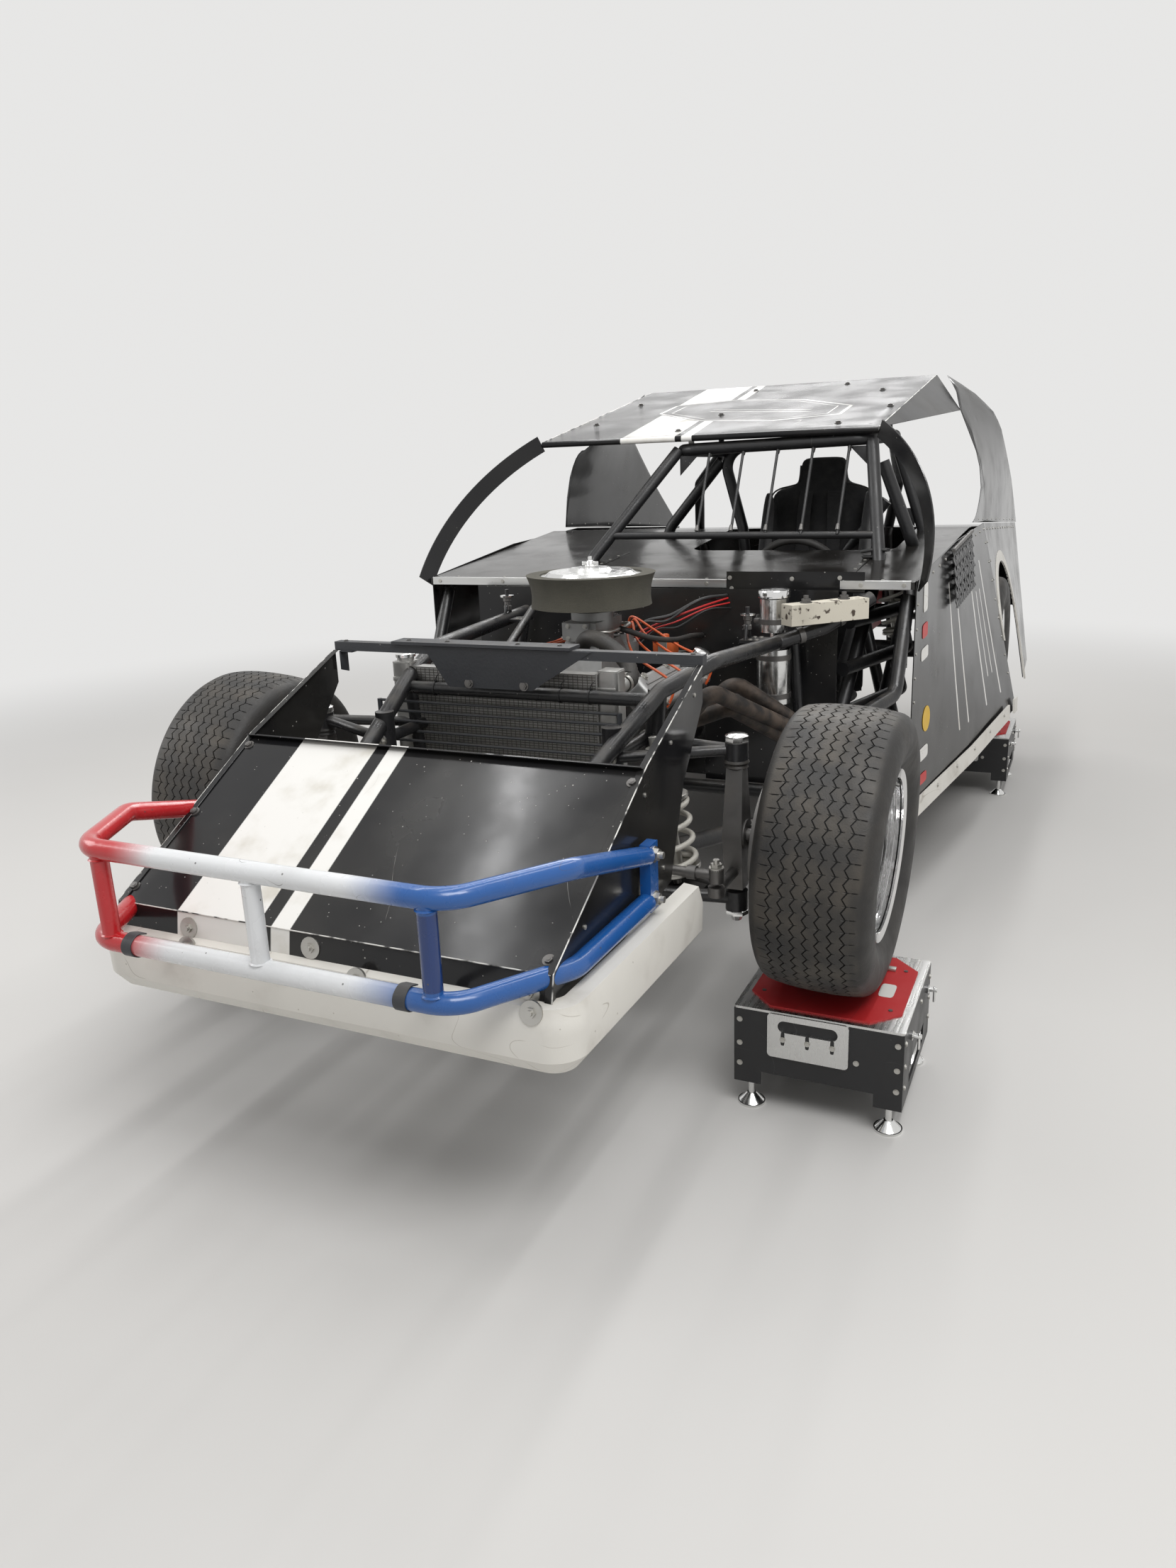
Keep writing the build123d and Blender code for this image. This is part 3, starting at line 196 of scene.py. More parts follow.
class Shading:
    """Builds the node tree of one material."""

    def __init__(self, name: str) -> None:
        """Starts an empty material with a principled shader."""
        self.material = bpy.data.materials.new(name)
        self.material.use_nodes = True
        self.tree = self.material.node_tree
        self.tree.nodes.clear()
        self.shader = add_node(self.tree, "ShaderNodeBsdfPrincipled")
        add_node(self.tree, "ShaderNodeOutputMaterial", sockets={0: self.shader.outputs[0]})
        self.place = self.node("ShaderNodeTexCoord", output="Object")

    def node(
        self, kind: str, settings: Settings = None, sockets: Sockets = None, output: int | str = 0
    ) -> Signal:
        """Adds one node and gives the chosen output."""
        return Signal(self, add_node(self.tree, kind, settings, sockets).outputs[output])

    def axis(self, letter: str) -> Signal:
        """Gives one object coordinate in metres."""
        return self.node("ShaderNodeSeparateXYZ", sockets={0: self.place}, output="XYZ".index(letter))

    def stretched(self, scale: Point) -> Signal:
        """Gives the object coordinates scaled along each axis."""
        return self.node("ShaderNodeMapping", sockets={"Vector": self.place, "Scale": scale})

    def attribute(self, name: str) -> Signal:
        """Gives a number stored on the mesh."""
        return self.node("ShaderNodeAttribute", {"attribute_name": name}, output="Fac")

    def noise(self, scale: float, detail: float = 4.0, stretch: Point | None = None) -> Signal:
        """Adds a noise texture.

        Args:
            scale: Patches per metre.
            detail: Number of finer layers.
            stretch: Scale of the coordinates along each axis.

        Returns:
            Its value, about 0.5 on average.
        """
        place = self.stretched(stretch) if stretch else self.place
        return self.node(
            "ShaderNodeTexNoise", sockets={"Vector": place, "Scale": scale, "Detail": detail}
        )

    def specks(self, scale: float, size: float, share: float) -> Signal:
        """Scatters small round spots.

        Args:
            scale: Spots per metre.
            size: Spot radius as a share of the spacing.
            share: Share of the spots that are kept.

        Returns:
            A mask, 1 inside a spot.
        """
        cells = {"Vector": self.place, "Scale": scale}
        near = self.node("ShaderNodeTexVoronoi", sockets=cells)
        shade = self.node("ShaderNodeTexVoronoi", sockets=cells, output="Color")
        kept = self.node("ShaderNodeSeparateColor", sockets={0: shade})
        return near.rise(size, size * 0.6) * kept.rise(share, share - 0.01)

    def scratches(self, scale: float, width: float, share: float) -> Signal:
        """Draws thin wandering scratches, where a noise passes its middle."""
        line = abs(self.noise(scale, 1.0, (1.0, 0.35, 1.3)) - 0.5).rise(width, 0.0)
        return line * self.noise(scale * 0.9, 2.0).rise(1 - share, 1.04 - share)

    def mix(self, factor: Any, first: Any, second: Any) -> Signal:
        """Mixes two colours."""
        return self.node(
            "ShaderNodeMix", {"data_type": "RGBA"}, {0: factor, 6: first, 7: second}, output=2
        )

    def relief(self, height: Signal, distance: float, strength: float = 1.0) -> Signal:
        """Turns a height into a bumped normal."""
        return self.node(
            "ShaderNodeBump", sockets={"Height": height, "Distance": distance, "Strength": strength}
        )

    def done(self, **sockets: Any) -> bpy.types.Material:
        """Sets the shader's sockets.

        Args:
            sockets: Values or Signals by input name, with _ for a blank.

        Returns:
            The material.
        """
        for name, value in sockets.items():
            feed(self.tree, self.shader.inputs[name.replace("_", " ")], value)
        return self.material


BUILT: dict["Finish", bpy.types.Material] = {}


@dataclass(frozen=True)
class Finish:
    """A finish of the car. It is built once and then shared."""

    name: str

    def build(self) -> bpy.types.Material:
        """Builds the material, in a way of its own for each kind of finish."""
        raise NotImplementedError

    def material(self) -> bpy.types.Material:
        """Gives the material, built at its first use.

        Returns:
            The material.
        """
        if self not in BUILT:
            BUILT[self] = self.build()
        return BUILT[self]


class Marking(Enum):
    """Painted stripes and outlines on the body sheets."""

    NOSE = "nose"
    ROOF = "roof"
    FLANK = "flank"


@dataclass(frozen=True)
class SheetPaint(Finish):
    """Gloss black body sheet with dents, dust specks and scratches."""

    marking: Marking | None = None
    dent: float = 0.006
    chips: float = 0.12
    tone: Tint = tint(0.010, 0.010, 0.011)
    white: Tint = tint(0.74, 0.73, 0.70)
    index: float = 1.38

    def build(self) -> bpy.types.Material:
        """Builds the material.

        Returns:
            The material.
        """
        paint = Shading(self.name)
        colour = paint.mix(paint.noise(3.0).rise(0.35, 0.75), self.tone, tint(0.022, 0.021, 0.019))
        mark = self.mark(paint)
        if mark is not None:
            grubby = paint.mix(paint.noise(9.0, 6.0).rise(0.5, 0.85), self.white, tint(0.5, 0.47, 0.4))
            colour = paint.mix(mark, colour, grubby)
        bare = paint.specks(70.0, 0.10, self.chips) + paint.scratches(5.0, 0.0016, 0.34)
        bare = (bare + paint.specks(26.0, 0.06, self.chips)).limit()
        colour = paint.mix(bare * 0.75, colour, tint(0.42, 0.41, 0.38))
        wave = paint.noise(2.2, 1.0) * 0.5 + paint.noise(9.0, 1.0) * 0.06
        dimple = paint.node(
            "ShaderNodeTexVoronoi", {"feature": "SMOOTH_F1"},
            {"Vector": paint.place, "Scale": 4.5, "Smoothness": 0.3},
        )
        height = wave - dimple.rise(0.12, 0.0) * 0.10
        rough = paint.noise(6.0, 6.0).rise(0.3, 0.8) * 0.16 + 0.13 + bare * 0.3
        return paint.done(
            Base_Color=colour, Roughness=rough, IOR=self.index, Coat_Weight=0.08, Coat_Roughness=0.08,
            Normal=paint.relief(height, self.dent),
        )

    def mark(self, paint: Shading) -> Signal | None:
        """Draws the stripes or outlines of this sheet.

        Args:
            paint: The material under construction.

        Returns:
            A mask, 1 where the sheet is white, or None.
        """
        x, y, z = (paint.axis(letter) for letter in "XYZ")
        if self.marking is Marking.NOSE:
            return x.band(-0.365, -0.148) + x.band(-0.112, -0.064)
        if self.marking is Marking.ROOF:
            slant = x + (y - 0.124) * 0.055
            stripes = slant.band(-0.312, -0.095) + slant.band(-0.070, -0.030)
            across = abs(x - 0.04 - (y - 0.62) * 0.02) * 1.15
            along = abs(y - 0.66 + x * 0.30) * 1.9
            ring = across.larger(along).larger((across + along) * 0.72)
            outline = ring.band(0.455, 0.470) + ring.band(0.400, 0.406)
            inside = ring.rise(0.486, 0.483)
            slot = abs(y - 0.64 + x * 0.30).band(0.018, 0.024) * abs(x - 0.08).rise(0.22, 0.218)
            return (stripes * (1 - inside) + outline + slot).limit()
        if self.marking is Marking.FLANK:
            top = z - 0.80 - y * 0.03
            left = abs(y - 0.22 + top * 0.12)
            right = abs(y - 0.66 + top * 0.12)
            one = left.band(0.052, 0.066) * abs(top).rise(0.27, 0.265)
            two = right.band(0.105, 0.120) * abs(top).rise(0.27, 0.265)
            heart = right.band(0.030, 0.040) * abs(top).rise(0.17, 0.165)
            return (one + two + heart).limit()
        return None


@dataclass(frozen=True)
class TubePaint(Finish):
    """Black painted steel tube with dust on top and worn spots."""

    tone: Tint = tint(0.012, 0.012, 0.013)
    gloss: float = 0.22
    dust: float = 0.35

    def build(self) -> bpy.types.Material:
        """Builds the material.

        Returns:
            The material.
        """
        paint = Shading(self.name)
        up = paint.node("ShaderNodeNewGeometry", output="Normal")
        sky = paint.node("ShaderNodeSeparateXYZ", sockets={0: up}, output=2).rise(0.1, 1.0)
        dusty = sky * paint.noise(22.0, 6.0).rise(0.3, 0.8) * self.dust
        worn = paint.specks(60.0, 0.12, 0.10) + paint.scratches(11.0, 0.0018, 0.3)
        colour = paint.mix(dusty, self.tone, tint(0.13, 0.115, 0.095))
        colour = paint.mix(worn.limit() * 0.7, colour, tint(0.30, 0.29, 0.27))
        rough = paint.noise(16.0).rise(0.2, 0.8) * 0.18 + self.gloss + dusty * 0.5
        return paint.done(
            Base_Color=colour, Roughness=rough,
            Normal=paint.relief(paint.noise(120.0, 3.0), 0.0006),
        )


@dataclass(frozen=True)
class BumperPaint(Finish):
    """Bumper tubes sprayed red, white and blue along their length, with painted shade on the left post.
    """

    red: Tint = tint(0.46, 0.012, 0.016)
    white: Tint = tint(0.68, 0.69, 0.70)
    blue: Tint = tint(0.010, 0.085, 0.30)
    # Painted shade: a darker copy of the blue, for the left post.
    shade: Tint = tint(0.006, 0.030, 0.135)

    def build(self) -> bpy.types.Material:
        """Builds the material.

        Returns:
            The material.
        """
        paint = Shading(self.name)
        drift = paint.noise(7.0, 3.0) * 0.05 - 0.025
        x = paint.axis("X") + drift
        colour = paint.mix(x.rise(-0.34, -0.20), self.red, self.white)
        colour = paint.mix(x.rise(0.20, 0.36), colour, self.blue)
        # Painted shade: the left post between the two tubes takes the darker blue.
        shaded_post = paint.axis("Z").band(0.655, 0.800) * paint.axis("Y").rise(-2.385, -2.400)
        colour = paint.mix(shaded_post * x.rise(0.30, 0.33), colour, self.shade)
        worn = paint.specks(55.0, 0.14, 0.16) + paint.scratches(9.0, 0.0022, 0.38)
        colour = paint.mix(worn.limit() * 0.8, colour, tint(0.06, 0.055, 0.05))
        colour = paint.mix(paint.noise(5.0, 5.0).rise(0.55, 0.9) * 0.4, colour, tint(0.2, 0.18, 0.16))
        return paint.done(
            Base_Color=colour, Roughness=paint.noise(18.0).rise(0.2, 0.9) * 0.16 + 0.2,
            Coat_Weight=0.4, Coat_Roughness=0.12, Normal=paint.relief(paint.noise(90.0), 0.0005),
        )


@dataclass(frozen=True)
class Plastic(Finish):
    """Moulded plastic with scuffs, dirt in patches and a fine skin."""

    tone: Tint = tint(0.70, 0.68, 0.63)
    dirt: Tint = tint(0.22, 0.18, 0.13)
    roughness: float = 0.38
    soil: float = 0.55

    def build(self) -> bpy.types.Material:
        """Builds the material.

        Returns:
            The material.
        """
        paint = Shading(self.name)
        soiled = paint.noise(7.0, 8.0).rise(0.52, 0.9) * self.soil
        scuffs = paint.scratches(6.0, 0.004, 0.5) + paint.specks(34.0, 0.09, 0.22)
        colour = paint.mix((soiled + scuffs * 0.5).limit(), self.tone, self.dirt)
        rough = paint.noise(12.0).rise(0.2, 0.9) * 0.2 + self.roughness
        height = paint.noise(5.0, 2.0) + paint.noise(260.0, 2.0) * 0.03
        return paint.done(Base_Color=colour, Roughness=rough, Normal=paint.relief(height, 0.004))


@dataclass(frozen=True)
class Metal(Finish):
    """Bare or plated metal, from brushed aluminium to chrome."""

    tone: Tint = tint(0.62, 0.62, 0.61)
    roughness: float = 0.28
    grain: Point | None = None
    grime: float = 0.25

    def build(self) -> bpy.types.Material:
        """Builds the material.

        Returns:
            The material.
        """
        metal = Shading(self.name)
        brushed = metal.noise(18.0, 6.0, self.grain) if self.grain else metal.noise(40.0, 6.0)
        dark = metal.noise(9.0, 6.0).rise(0.5, 0.9) * self.grime
        dark = (dark + metal.specks(48.0, 0.09, 0.12) * self.grime * 2.0).limit()
        colour = metal.mix(dark, self.tone, tint(0.10, 0.085, 0.065))
        rough = brushed.rise(0.25, 0.8) * 0.14 + self.roughness + dark * 0.3
        return metal.done(
            Base_Color=colour, Metallic=1.0 - dark * 0.6, Roughness=rough,
            Normal=metal.relief(brushed, 0.0004),
        )


@dataclass(frozen=True)
class Aged(Finish):
    """Mottled surface of two tones, such as heat-browned pipe or chipped paint."""

    light: Tint = tint(0.10, 0.075, 0.058)
    dark: Tint = tint(0.016, 0.014, 0.013)
    scale: float = 24.0
    split: float = 0.52
    edge: float = 0.22
    metallic: float = 0.35
    roughness: float = 0.5
    bump: float = 0.0012

    def build(self) -> bpy.types.Material:
        """Builds the material.

        Returns:
            The material.
        """
        skin = Shading(self.name)
        patch = skin.noise(self.scale, 9.0).rise(self.split - self.edge, self.split + self.edge)
        colour = skin.mix(patch, self.dark, self.light)
        colour = skin.mix(skin.noise(4.0, 5.0).rise(0.5, 0.9) * 0.35, colour, self.dark)
        return skin.done(
            Base_Color=colour, Metallic=self.metallic,
            Roughness=skin.noise(self.scale * 2).rise(0.2, 0.9) * 0.25 + self.roughness,
            Normal=skin.relief(patch + skin.noise(self.scale * 6, 4.0) * 0.4, self.bump),
        )


@dataclass(frozen=True)
class Foam(Finish):
    """Open-cell foam of the air filter, with painted shade in its pores."""

    tone: Tint = tint(0.085, 0.080, 0.062)

    def build(self) -> bpy.types.Material:
        """Builds the material.

        Returns:
            The material.
        """
        foam = Shading(self.name)
        pores = foam.node("ShaderNodeTexVoronoi", sockets={"Vector": foam.place, "Scale": 620.0})
        stain = foam.noise(11.0, 5.0).rise(0.35, 0.8)
        colour = foam.mix(stain * 0.6, self.tone, tint(0.05, 0.047, 0.038))
        # Painted shade: the pits of the pores are darkened.
        colour = foam.mix(pores.rise(0.5, 0.1) * 0.45, colour, tint(0.02, 0.02, 0.016))
        return foam.done(Base_Color=colour, Roughness=0.92, Normal=foam.relief(pores, 0.0011))


@dataclass(frozen=True)
class Rubber(Finish):
    """Tyre rubber: dust on the worn blocks and painted shade in the grooves, or plain hose rubber."""

    tone: Tint = tint(0.020, 0.019, 0.018)
    dust: Tint = tint(0.085, 0.072, 0.056)
    soil: float = 0.75
    grooved: bool = False

    def build(self) -> bpy.types.Material:
        """Builds the material.

        Returns:
            The material.
        """
        rubber = Shading(self.name)
        soiled = rubber.noise(13.0, 8.0).rise(0.32, 0.85) * self.soil
        colour = rubber.mix(soiled, self.tone, self.dust)
        if self.grooved:
            # Painted shade: where the face mark is 0, in the grooves and sipes, the rubber is near black.
            face = rubber.attribute("face")
            colour = rubber.mix(face, tint(0.004, 0.004, 0.004), colour)
            colour = rubber.mix(rubber.attribute("wall") * 0.75, colour, tint(0.016, 0.015, 0.014))
        rough = rubber.noise(20.0).rise(0.2, 0.9) * 0.22 + 0.5
        height = rubber.noise(260.0, 5.0) + rubber.noise(60.0) * 0.6
        return rubber.done(Base_Color=colour, Roughness=rough, Normal=rubber.relief(height, 0.0007))


@dataclass(frozen=True)
class Woven(Finish):
    """Woven cloth or webbing."""

    tone: Tint = tint(0.010, 0.010, 0.011)
    pitch: float = 900.0

    def build(self) -> bpy.types.Material:
        """Builds the material.

        Returns:
            The material.
        """
        cloth = Shading(self.name)
        threads = [
            cloth.node(
                "ShaderNodeTexWave", {"bands_direction": direction},
                {"Vector": cloth.place, "Scale": self.pitch / 6.28, "Distortion": 0.4},
            )
            for direction in ("X", "Y", "Z")
        ]
        weave = threads[0] * 0.4 + threads[1] * 0.3 + threads[2] * 0.4
        dust = cloth.noise(30.0, 6.0).rise(0.4, 0.9) * 0.5
        colour = cloth.mix(dust, self.tone, tint(0.05, 0.048, 0.045))
        return cloth.done(
            Base_Color=colour, Roughness=0.88, Sheen_Weight=0.3, Normal=cloth.relief(weave, 0.0006)
        )


BODY_BLACK = SheetPaint("body_sheet_black")
NOSE_SHEET = SheetPaint("nose_sheet", marking=Marking.NOSE, dent=0.010, chips=0.30)
ROOF_SHEET = SheetPaint("roof_sheet", marking=Marking.ROOF, dent=0.005, chips=0.08, index=1.26)
FLANK_SHEET = SheetPaint("flank_sheet", marking=Marking.FLANK, dent=0.006, chips=0.12)
DECK_SHEET = SheetPaint("deck_sheet", dent=0.007, chips=0.14, tone=tint(0.014, 0.013, 0.012))
PANEL_WORN = SheetPaint("panel_worn", dent=0.003, chips=0.5)
FRAME_BLACK = TubePaint("frame_black")
CAGE_BLACK = TubePaint("cage_black", gloss=0.3, dust=0.2)
BAR_GREY = TubePaint("bar_grey", tone=tint(0.030, 0.032, 0.036), gloss=0.42, dust=0.3)
BUMPER = BumperPaint("bumper_paint")
LIP_WHITE = Plastic("lip_white")
SKIRT_WHITE = Plastic("skirt_white", soil=0.75)
CELL_RED = Plastic("cell_red", tone=tint(0.30, 0.02, 0.02), roughness=0.45)
PAD_RED = Plastic("pad_red", tone=tint(0.40, 0.012, 0.014), dirt=tint(0.12, 0.02, 0.02), roughness=0.5)
STAND_BLACK = Plastic(
    "stand_black", tone=tint(0.010, 0.010, 0.011), dirt=tint(0.05, 0.05, 0.05), roughness=0.34,
)
PALE_WINDOW = Plastic("pale_window", tone=tint(0.62, 0.61, 0.58), soil=0.15)
WHITE_VINYL = Plastic("white_vinyl", tone=tint(0.74, 0.73, 0.70), soil=0.25)
YELLOW_VINYL = Plastic("yellow_vinyl", tone=tint(0.68, 0.42, 0.02), soil=0.2)
RED_VINYL = Plastic("red_vinyl", tone=tint(0.50, 0.02, 0.02), soil=0.2)
BLACK_PLASTIC = Plastic(
    "black_plastic", tone=tint(0.012, 0.012, 0.012), dirt=tint(0.07, 0.06, 0.05), roughness=0.42,
)
ALUMINIUM = Metal("aluminium", grain=(0.15, 6.0, 6.0))
TANK_METAL = Metal("tank_metal", tone=tint(0.46, 0.455, 0.44), roughness=0.36, grime=0.5)
CORE_METAL = Metal("core_metal", tone=tint(0.16, 0.155, 0.145), roughness=0.5, grime=0.6)
STAND_METAL = Metal(
    "stand_metal", tone=tint(0.66, 0.66, 0.65), roughness=0.22, grain=(6.0, 0.3, 1.0), grime=0.12,
)
CHROME = Metal("chrome", tone=tint(0.80, 0.80, 0.80), roughness=0.04, grime=0.12)
POLISHED = Metal("polished", tone=tint(0.76, 0.76, 0.75), roughness=0.14, grime=0.15)
SPRING_PAINT = Plastic("spring_paint", tone=tint(0.52, 0.50, 0.45), roughness=0.26, soil=0.45)
ZINC = Metal("zinc", tone=tint(0.50, 0.49, 0.46), roughness=0.34, grime=0.4)
DARK_STEEL = Metal("dark_steel", tone=tint(0.16, 0.155, 0.15), roughness=0.42, grime=0.6)
CAST = Metal("cast_metal", tone=tint(0.33, 0.33, 0.325), roughness=0.5, grime=0.55)
HEADER = Aged("header_steel")
BLOCK_IRON = Aged("block_iron", light=tint(0.060, 0.058, 0.055), metallic=0.2)
CHIPPED = Aged(
    "chipped_white", light=tint(0.60, 0.56, 0.47), dark=tint(0.055, 0.038, 0.026), scale=34.0,
    split=0.40, edge=0.035, metallic=0.0, roughness=0.45, bump=0.0010,
)
WORN_EDGE = Aged(
    "worn_edge", light=tint(0.62, 0.61, 0.58), dark=tint(0.03, 0.03, 0.03), scale=30.0,
    split=0.46, edge=0.08, metallic=0.5, roughness=0.35, bump=0.0004,
)
LEAD_ORANGE = Plastic("lead_orange", tone=tint(0.55, 0.09, 0.02), dirt=tint(0.10, 0.04, 0.02))
COIL_ORANGE = Plastic("coil_orange", tone=tint(0.60, 0.12, 0.03), dirt=tint(0.40, 0.38, 0.34))
WIRE_RED = Plastic("wire_red", tone=tint(0.48, 0.02, 0.02), dirt=tint(0.08, 0.03, 0.03))
FILTER_FOAM = Foam("filter_foam")
TREAD = Rubber("tread_rubber", grooved=True)
HOSE = Rubber("hose_rubber", soil=0.4)
GRIP = Rubber("grip_rubber", soil=0.1)
SEAT_CLOTH = Woven("seat_cloth")
WEBBING = Woven("webbing", tone=tint(0.014, 0.014, 0.015), pitch=600.0)


def smooth_out(mesh: bpy.types.Mesh) -> None:
    """Marks every face of a mesh as smooth."""
    mesh.polygons.foreach_set("use_smooth", [True] * len(mesh.polygons))


def put(
    name: str, mesh: bpy.types.Mesh, finish: Finish, body: str = "root"
) -> bpy.types.Object:
    """Adds a finished mesh to the scene.

    Args:
        name: Name of the piece.
        mesh: Its mesh, in place.
        finish: What it is made of.
        body: The body that it moves with.

    Returns:
        The object.
    """
    piece = bpy.data.objects.new(name, mesh)
    bpy.context.scene.collection.objects.link(piece)
    mesh.materials.clear()
    mesh.materials.append(finish.material())
    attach(piece, body)
    log.info("%s: %d faces", name, len(mesh.polygons))
    return piece


def metres(points: Iterable[Point]) -> list[Point]:
    """Turns points in millimetres into metres."""
    return [tuple(part / 1000 for part in point) for point in points]


def mirrored(points: Iterable[Point]) -> list[Point]:
    """Lists points, then the same ones on the car's other side."""
    points = list(points)
    return points + [(-x, y, z) for x, y, z in points]


def outward(points: Iterable[Point], lift: float = 0.0) -> list[Point]:
    """Gives each point the direction away from the car's middle."""
    return [(1.0 if point[0] > 0 else -1.0, 0.0, lift) for point in points]


def round_about(steps: int) -> list[float]:
    """Divides a full turn into equal angles."""
    return [2 * pi * step / steps for step in range(steps)]


def powered(part: float, power: float) -> float:
    """Raises the size of a number to a power and keeps its sign."""
    return (1 if part > 0 else -1) * abs(part) ** power


def bulged(wide: float, tall: float, power: float, steps: int) -> list[tuple[float, float]]:
    """Outlines a rectangle with round corners about its middle.

    Args:
        wide: Its width.
        tall: Its height.
        power: 1 for an ellipse, less for squarer corners.
        steps: Number of points.

    Returns:
        The outline's points.
    """
    return [
        (wide / 2 * powered(cos(turn), power), tall / 2 * powered(sin(turn), power))
        for turn in round_about(steps)
    ]


def flowing(points: Line, steps: int = 8) -> list[Vector]:
    """Runs a smooth line through points.

    Args:
        points: The points.
        steps: Number of short runs between two neighbours.

    Returns:
        The line's points.
    """
    line = [Vector(point) for point in points]
    ends = [2 * line[0] - line[1], *line, 2 * line[-1] - line[-2]]
    smooth = []
    for before, start, stop, after in zip(ends, ends[1:], ends[2:], ends[3:]):
        for share in (step / steps for step in range(steps)):
            bent = (2 * before - 5 * start + 4 * stop - after) * share ** 2
            turned = (3 * start - before - 3 * stop + after) * share ** 3
            smooth.append(0.5 * (2 * start + (stop - before) * share + bent + turned))
    return smooth + [line[-1]]


def between(rows: Sequence[tuple[float, Any]], place: float) -> Any:
    """Reads a table, with straight runs between its rows.

    Args:
        rows: Places and the number or vector at each.
        place: Where it is read.

    Returns:
        The number or vector there.
    """
    for (start, first), (stop, last) in zip(rows, rows[1:]):
        if min(start, stop) <= place <= max(start, stop):
            return first + (last - first) * ((place - start) / (stop - start))
    raise ValueError(f"nothing at {place}")


def headings(line: Sequence[Vector]) -> list[Vector]:
    """Gives a line's direction at each of its points."""
    runs = [(b - a).normalized() for a, b in zip(line, line[1:])]
    return [runs[0]] + [(a + b).normalized() for a, b in zip(runs, runs[1:])] + [runs[-1]]


class Shape:
    """A mesh put together from plain forms in millimetres, with its faces outwards."""

    def __init__(self) -> None:
        """Starts an empty mesh."""
        self.work = bmesh.new()

    def ring(self, points: Iterable[Point]) -> list[bmesh.types.BMVert]:
        """Adds loose points."""
        return [self.work.verts.new(Vector(point) / 1000) for point in points]

    def walls(self, rings: list[list[bmesh.types.BMVert]], closed: bool = True) -> "Shape":
        """Joins neighbouring rings of equal length with quads.

        Args:
            rings: The rings.
            closed: Whether the last point of each joins its first.

        Returns:
            This shape.
        """
        count = len(rings[0])
        for low, high in zip(rings, rings[1:]):
            for step in range(count if closed else count - 1):
                after = (step + 1) % count
                self.work.faces.new((low[step], low[after], high[after], high[step]))
        return self

    def close(self, rings: list[list[bmesh.types.BMVert]]) -> "Shape":
        """Joins rings and closes both ends.

        Args:
            rings: The rings.

        Returns:
            This shape.
        """
        self.walls(rings)
        self.work.faces.new(rings[0][::-1])
        self.work.faces.new(rings[-1])
        return self

    def circles(
        self, profile: Profile, centre: Point, aim: Point, sides: int
    ) -> list[list[bmesh.types.BMVert]]:
        """Adds circles of points about an axis.

        Args:
            profile: Distance along the axis and radius of each circle.
            centre: Where the axis starts.
            aim: Direction of the axis.
            sides: Number of points on a circle.

        Returns:
            The circles.
        """
        axis = Vector(aim).normalized()
        side = axis.orthogonal().normalized()
        spokes = [side * cos(a) + axis.cross(side) * sin(a) for a in round_about(sides)]
        return [
            self.ring(Vector(centre) + axis * along + spoke * max(radius, 0.01) for spoke in spokes)
            for along, radius in profile
        ]

    def turned(self, profile: Profile, centre: Point, aim: Point, sides: int = 48) -> "Shape":
        """Adds a turned form through circles, from one end to the other."""
        return self.close(self.circles(profile, centre, aim, sides))

    def hoop(self, loop: Profile, centre: Point, aim: Point, sides: int = 48) -> "Shape":
        """Adds a ring whose section is a closed loop of distances and radii."""
        rings = self.circles(loop, centre, aim, sides)
        return self.walls(rings + rings[:1])

    def band(
        self, centre: Point, aim: Point, radius: float, wide: float = 12, thick: float = 2.2
    ) -> "Shape":
        """Adds a flat band round an axis, wide along it and thick outside the radius."""
        low, high, outer = -wide / 2, wide / 2, radius + thick
        return self.hoop(((low, radius), (low, outer), (high, outer), (high, radius)), centre, aim, 40)

    def tube(self, points: Line, radius: float | Sequence[float], sides: int = 12) -> "Shape":
        """Adds a round bar along points.

        Args:
            points: Its centre line.
            radius: One radius, or one for each point.
            sides: Number of sides.

        Returns:
            This shape.
        """
        line = [Vector(point) for point in points]
        sizes = [radius] * len(line) if isinstance(radius, (int, float)) else radius
        aims = headings(line)
        side = aims[0].orthogonal().normalized()
        rings = []
        for centre, aim, size in zip(line, aims, sizes):
            side = (side - aim * side.dot(aim)).normalized()
            other = aim.cross(side)
            rings.append(self.ring(
                centre + (side * cos(a) + other * sin(a)) * size for a in round_about(sides)
            ))
        return self.close(rings)

    def strap(self, points: Line, across: Point, thick: float) -> "Shape":
        """Adds a flat band along points.

        Args:
            points: Its centre line.
            across: Direction of its width, as long as it is wide.
            thick: Its thickness.

        Returns:
            This shape.
        """
        line = [Vector(point) for point in points]
        reach = Vector(across)
        half, deep = reach.length / 2, thick / 2
        edge = min(0.6 * deep, 0.3 * half)
        section = (
            (-half, edge - deep), (edge - half, -deep), (half - edge, -deep), (half, edge - deep),
            (half, deep - edge), (half - edge, deep), (edge - half, deep), (-half, deep - edge),
        )
        rings = []
        for centre, aim in zip(line, headings(line)):
            side = (reach - aim * reach.dot(aim)).normalized()
            lift = aim.cross(side)
            rings.append(self.ring(centre + side * a + lift * b for a, b in section))
        return self.close(rings)

    def slab(self, outline: Line, depth: Point, bevel: float = 0.0) -> "Shape":
        """Adds a flat outline pushed along a direction.

        Args:
            outline: Corners of one face.
            depth: How far and where to that face is pushed.
            bevel: Width of the softened edges.

        Returns:
            This shape.
        """
        part = bmesh.new()
        low = [part.verts.new(corner) for corner in metres(outline)]
        high = [part.verts.new(vert.co + Vector(depth) / 1000) for vert in low]
        part.faces.new(low)
        part.faces.new(high[::-1])
        for step in range(len(low)):
            after = (step + 1) % len(low)
            part.faces.new((low[after], low[step], high[step], high[after]))
        bmesh.ops.recalc_face_normals(part, faces=part.faces)
        if bevel:
            bmesh.ops.bevel(
                part, geom=part.edges[:], offset=bevel / 1000, segments=2, affect="EDGES", profile=0.5
            )
        spare = bpy.data.meshes.new("spare")
        part.to_mesh(spare)
        part.free()
        self.work.from_mesh(spare)
        bpy.data.meshes.remove(spare)
        return self

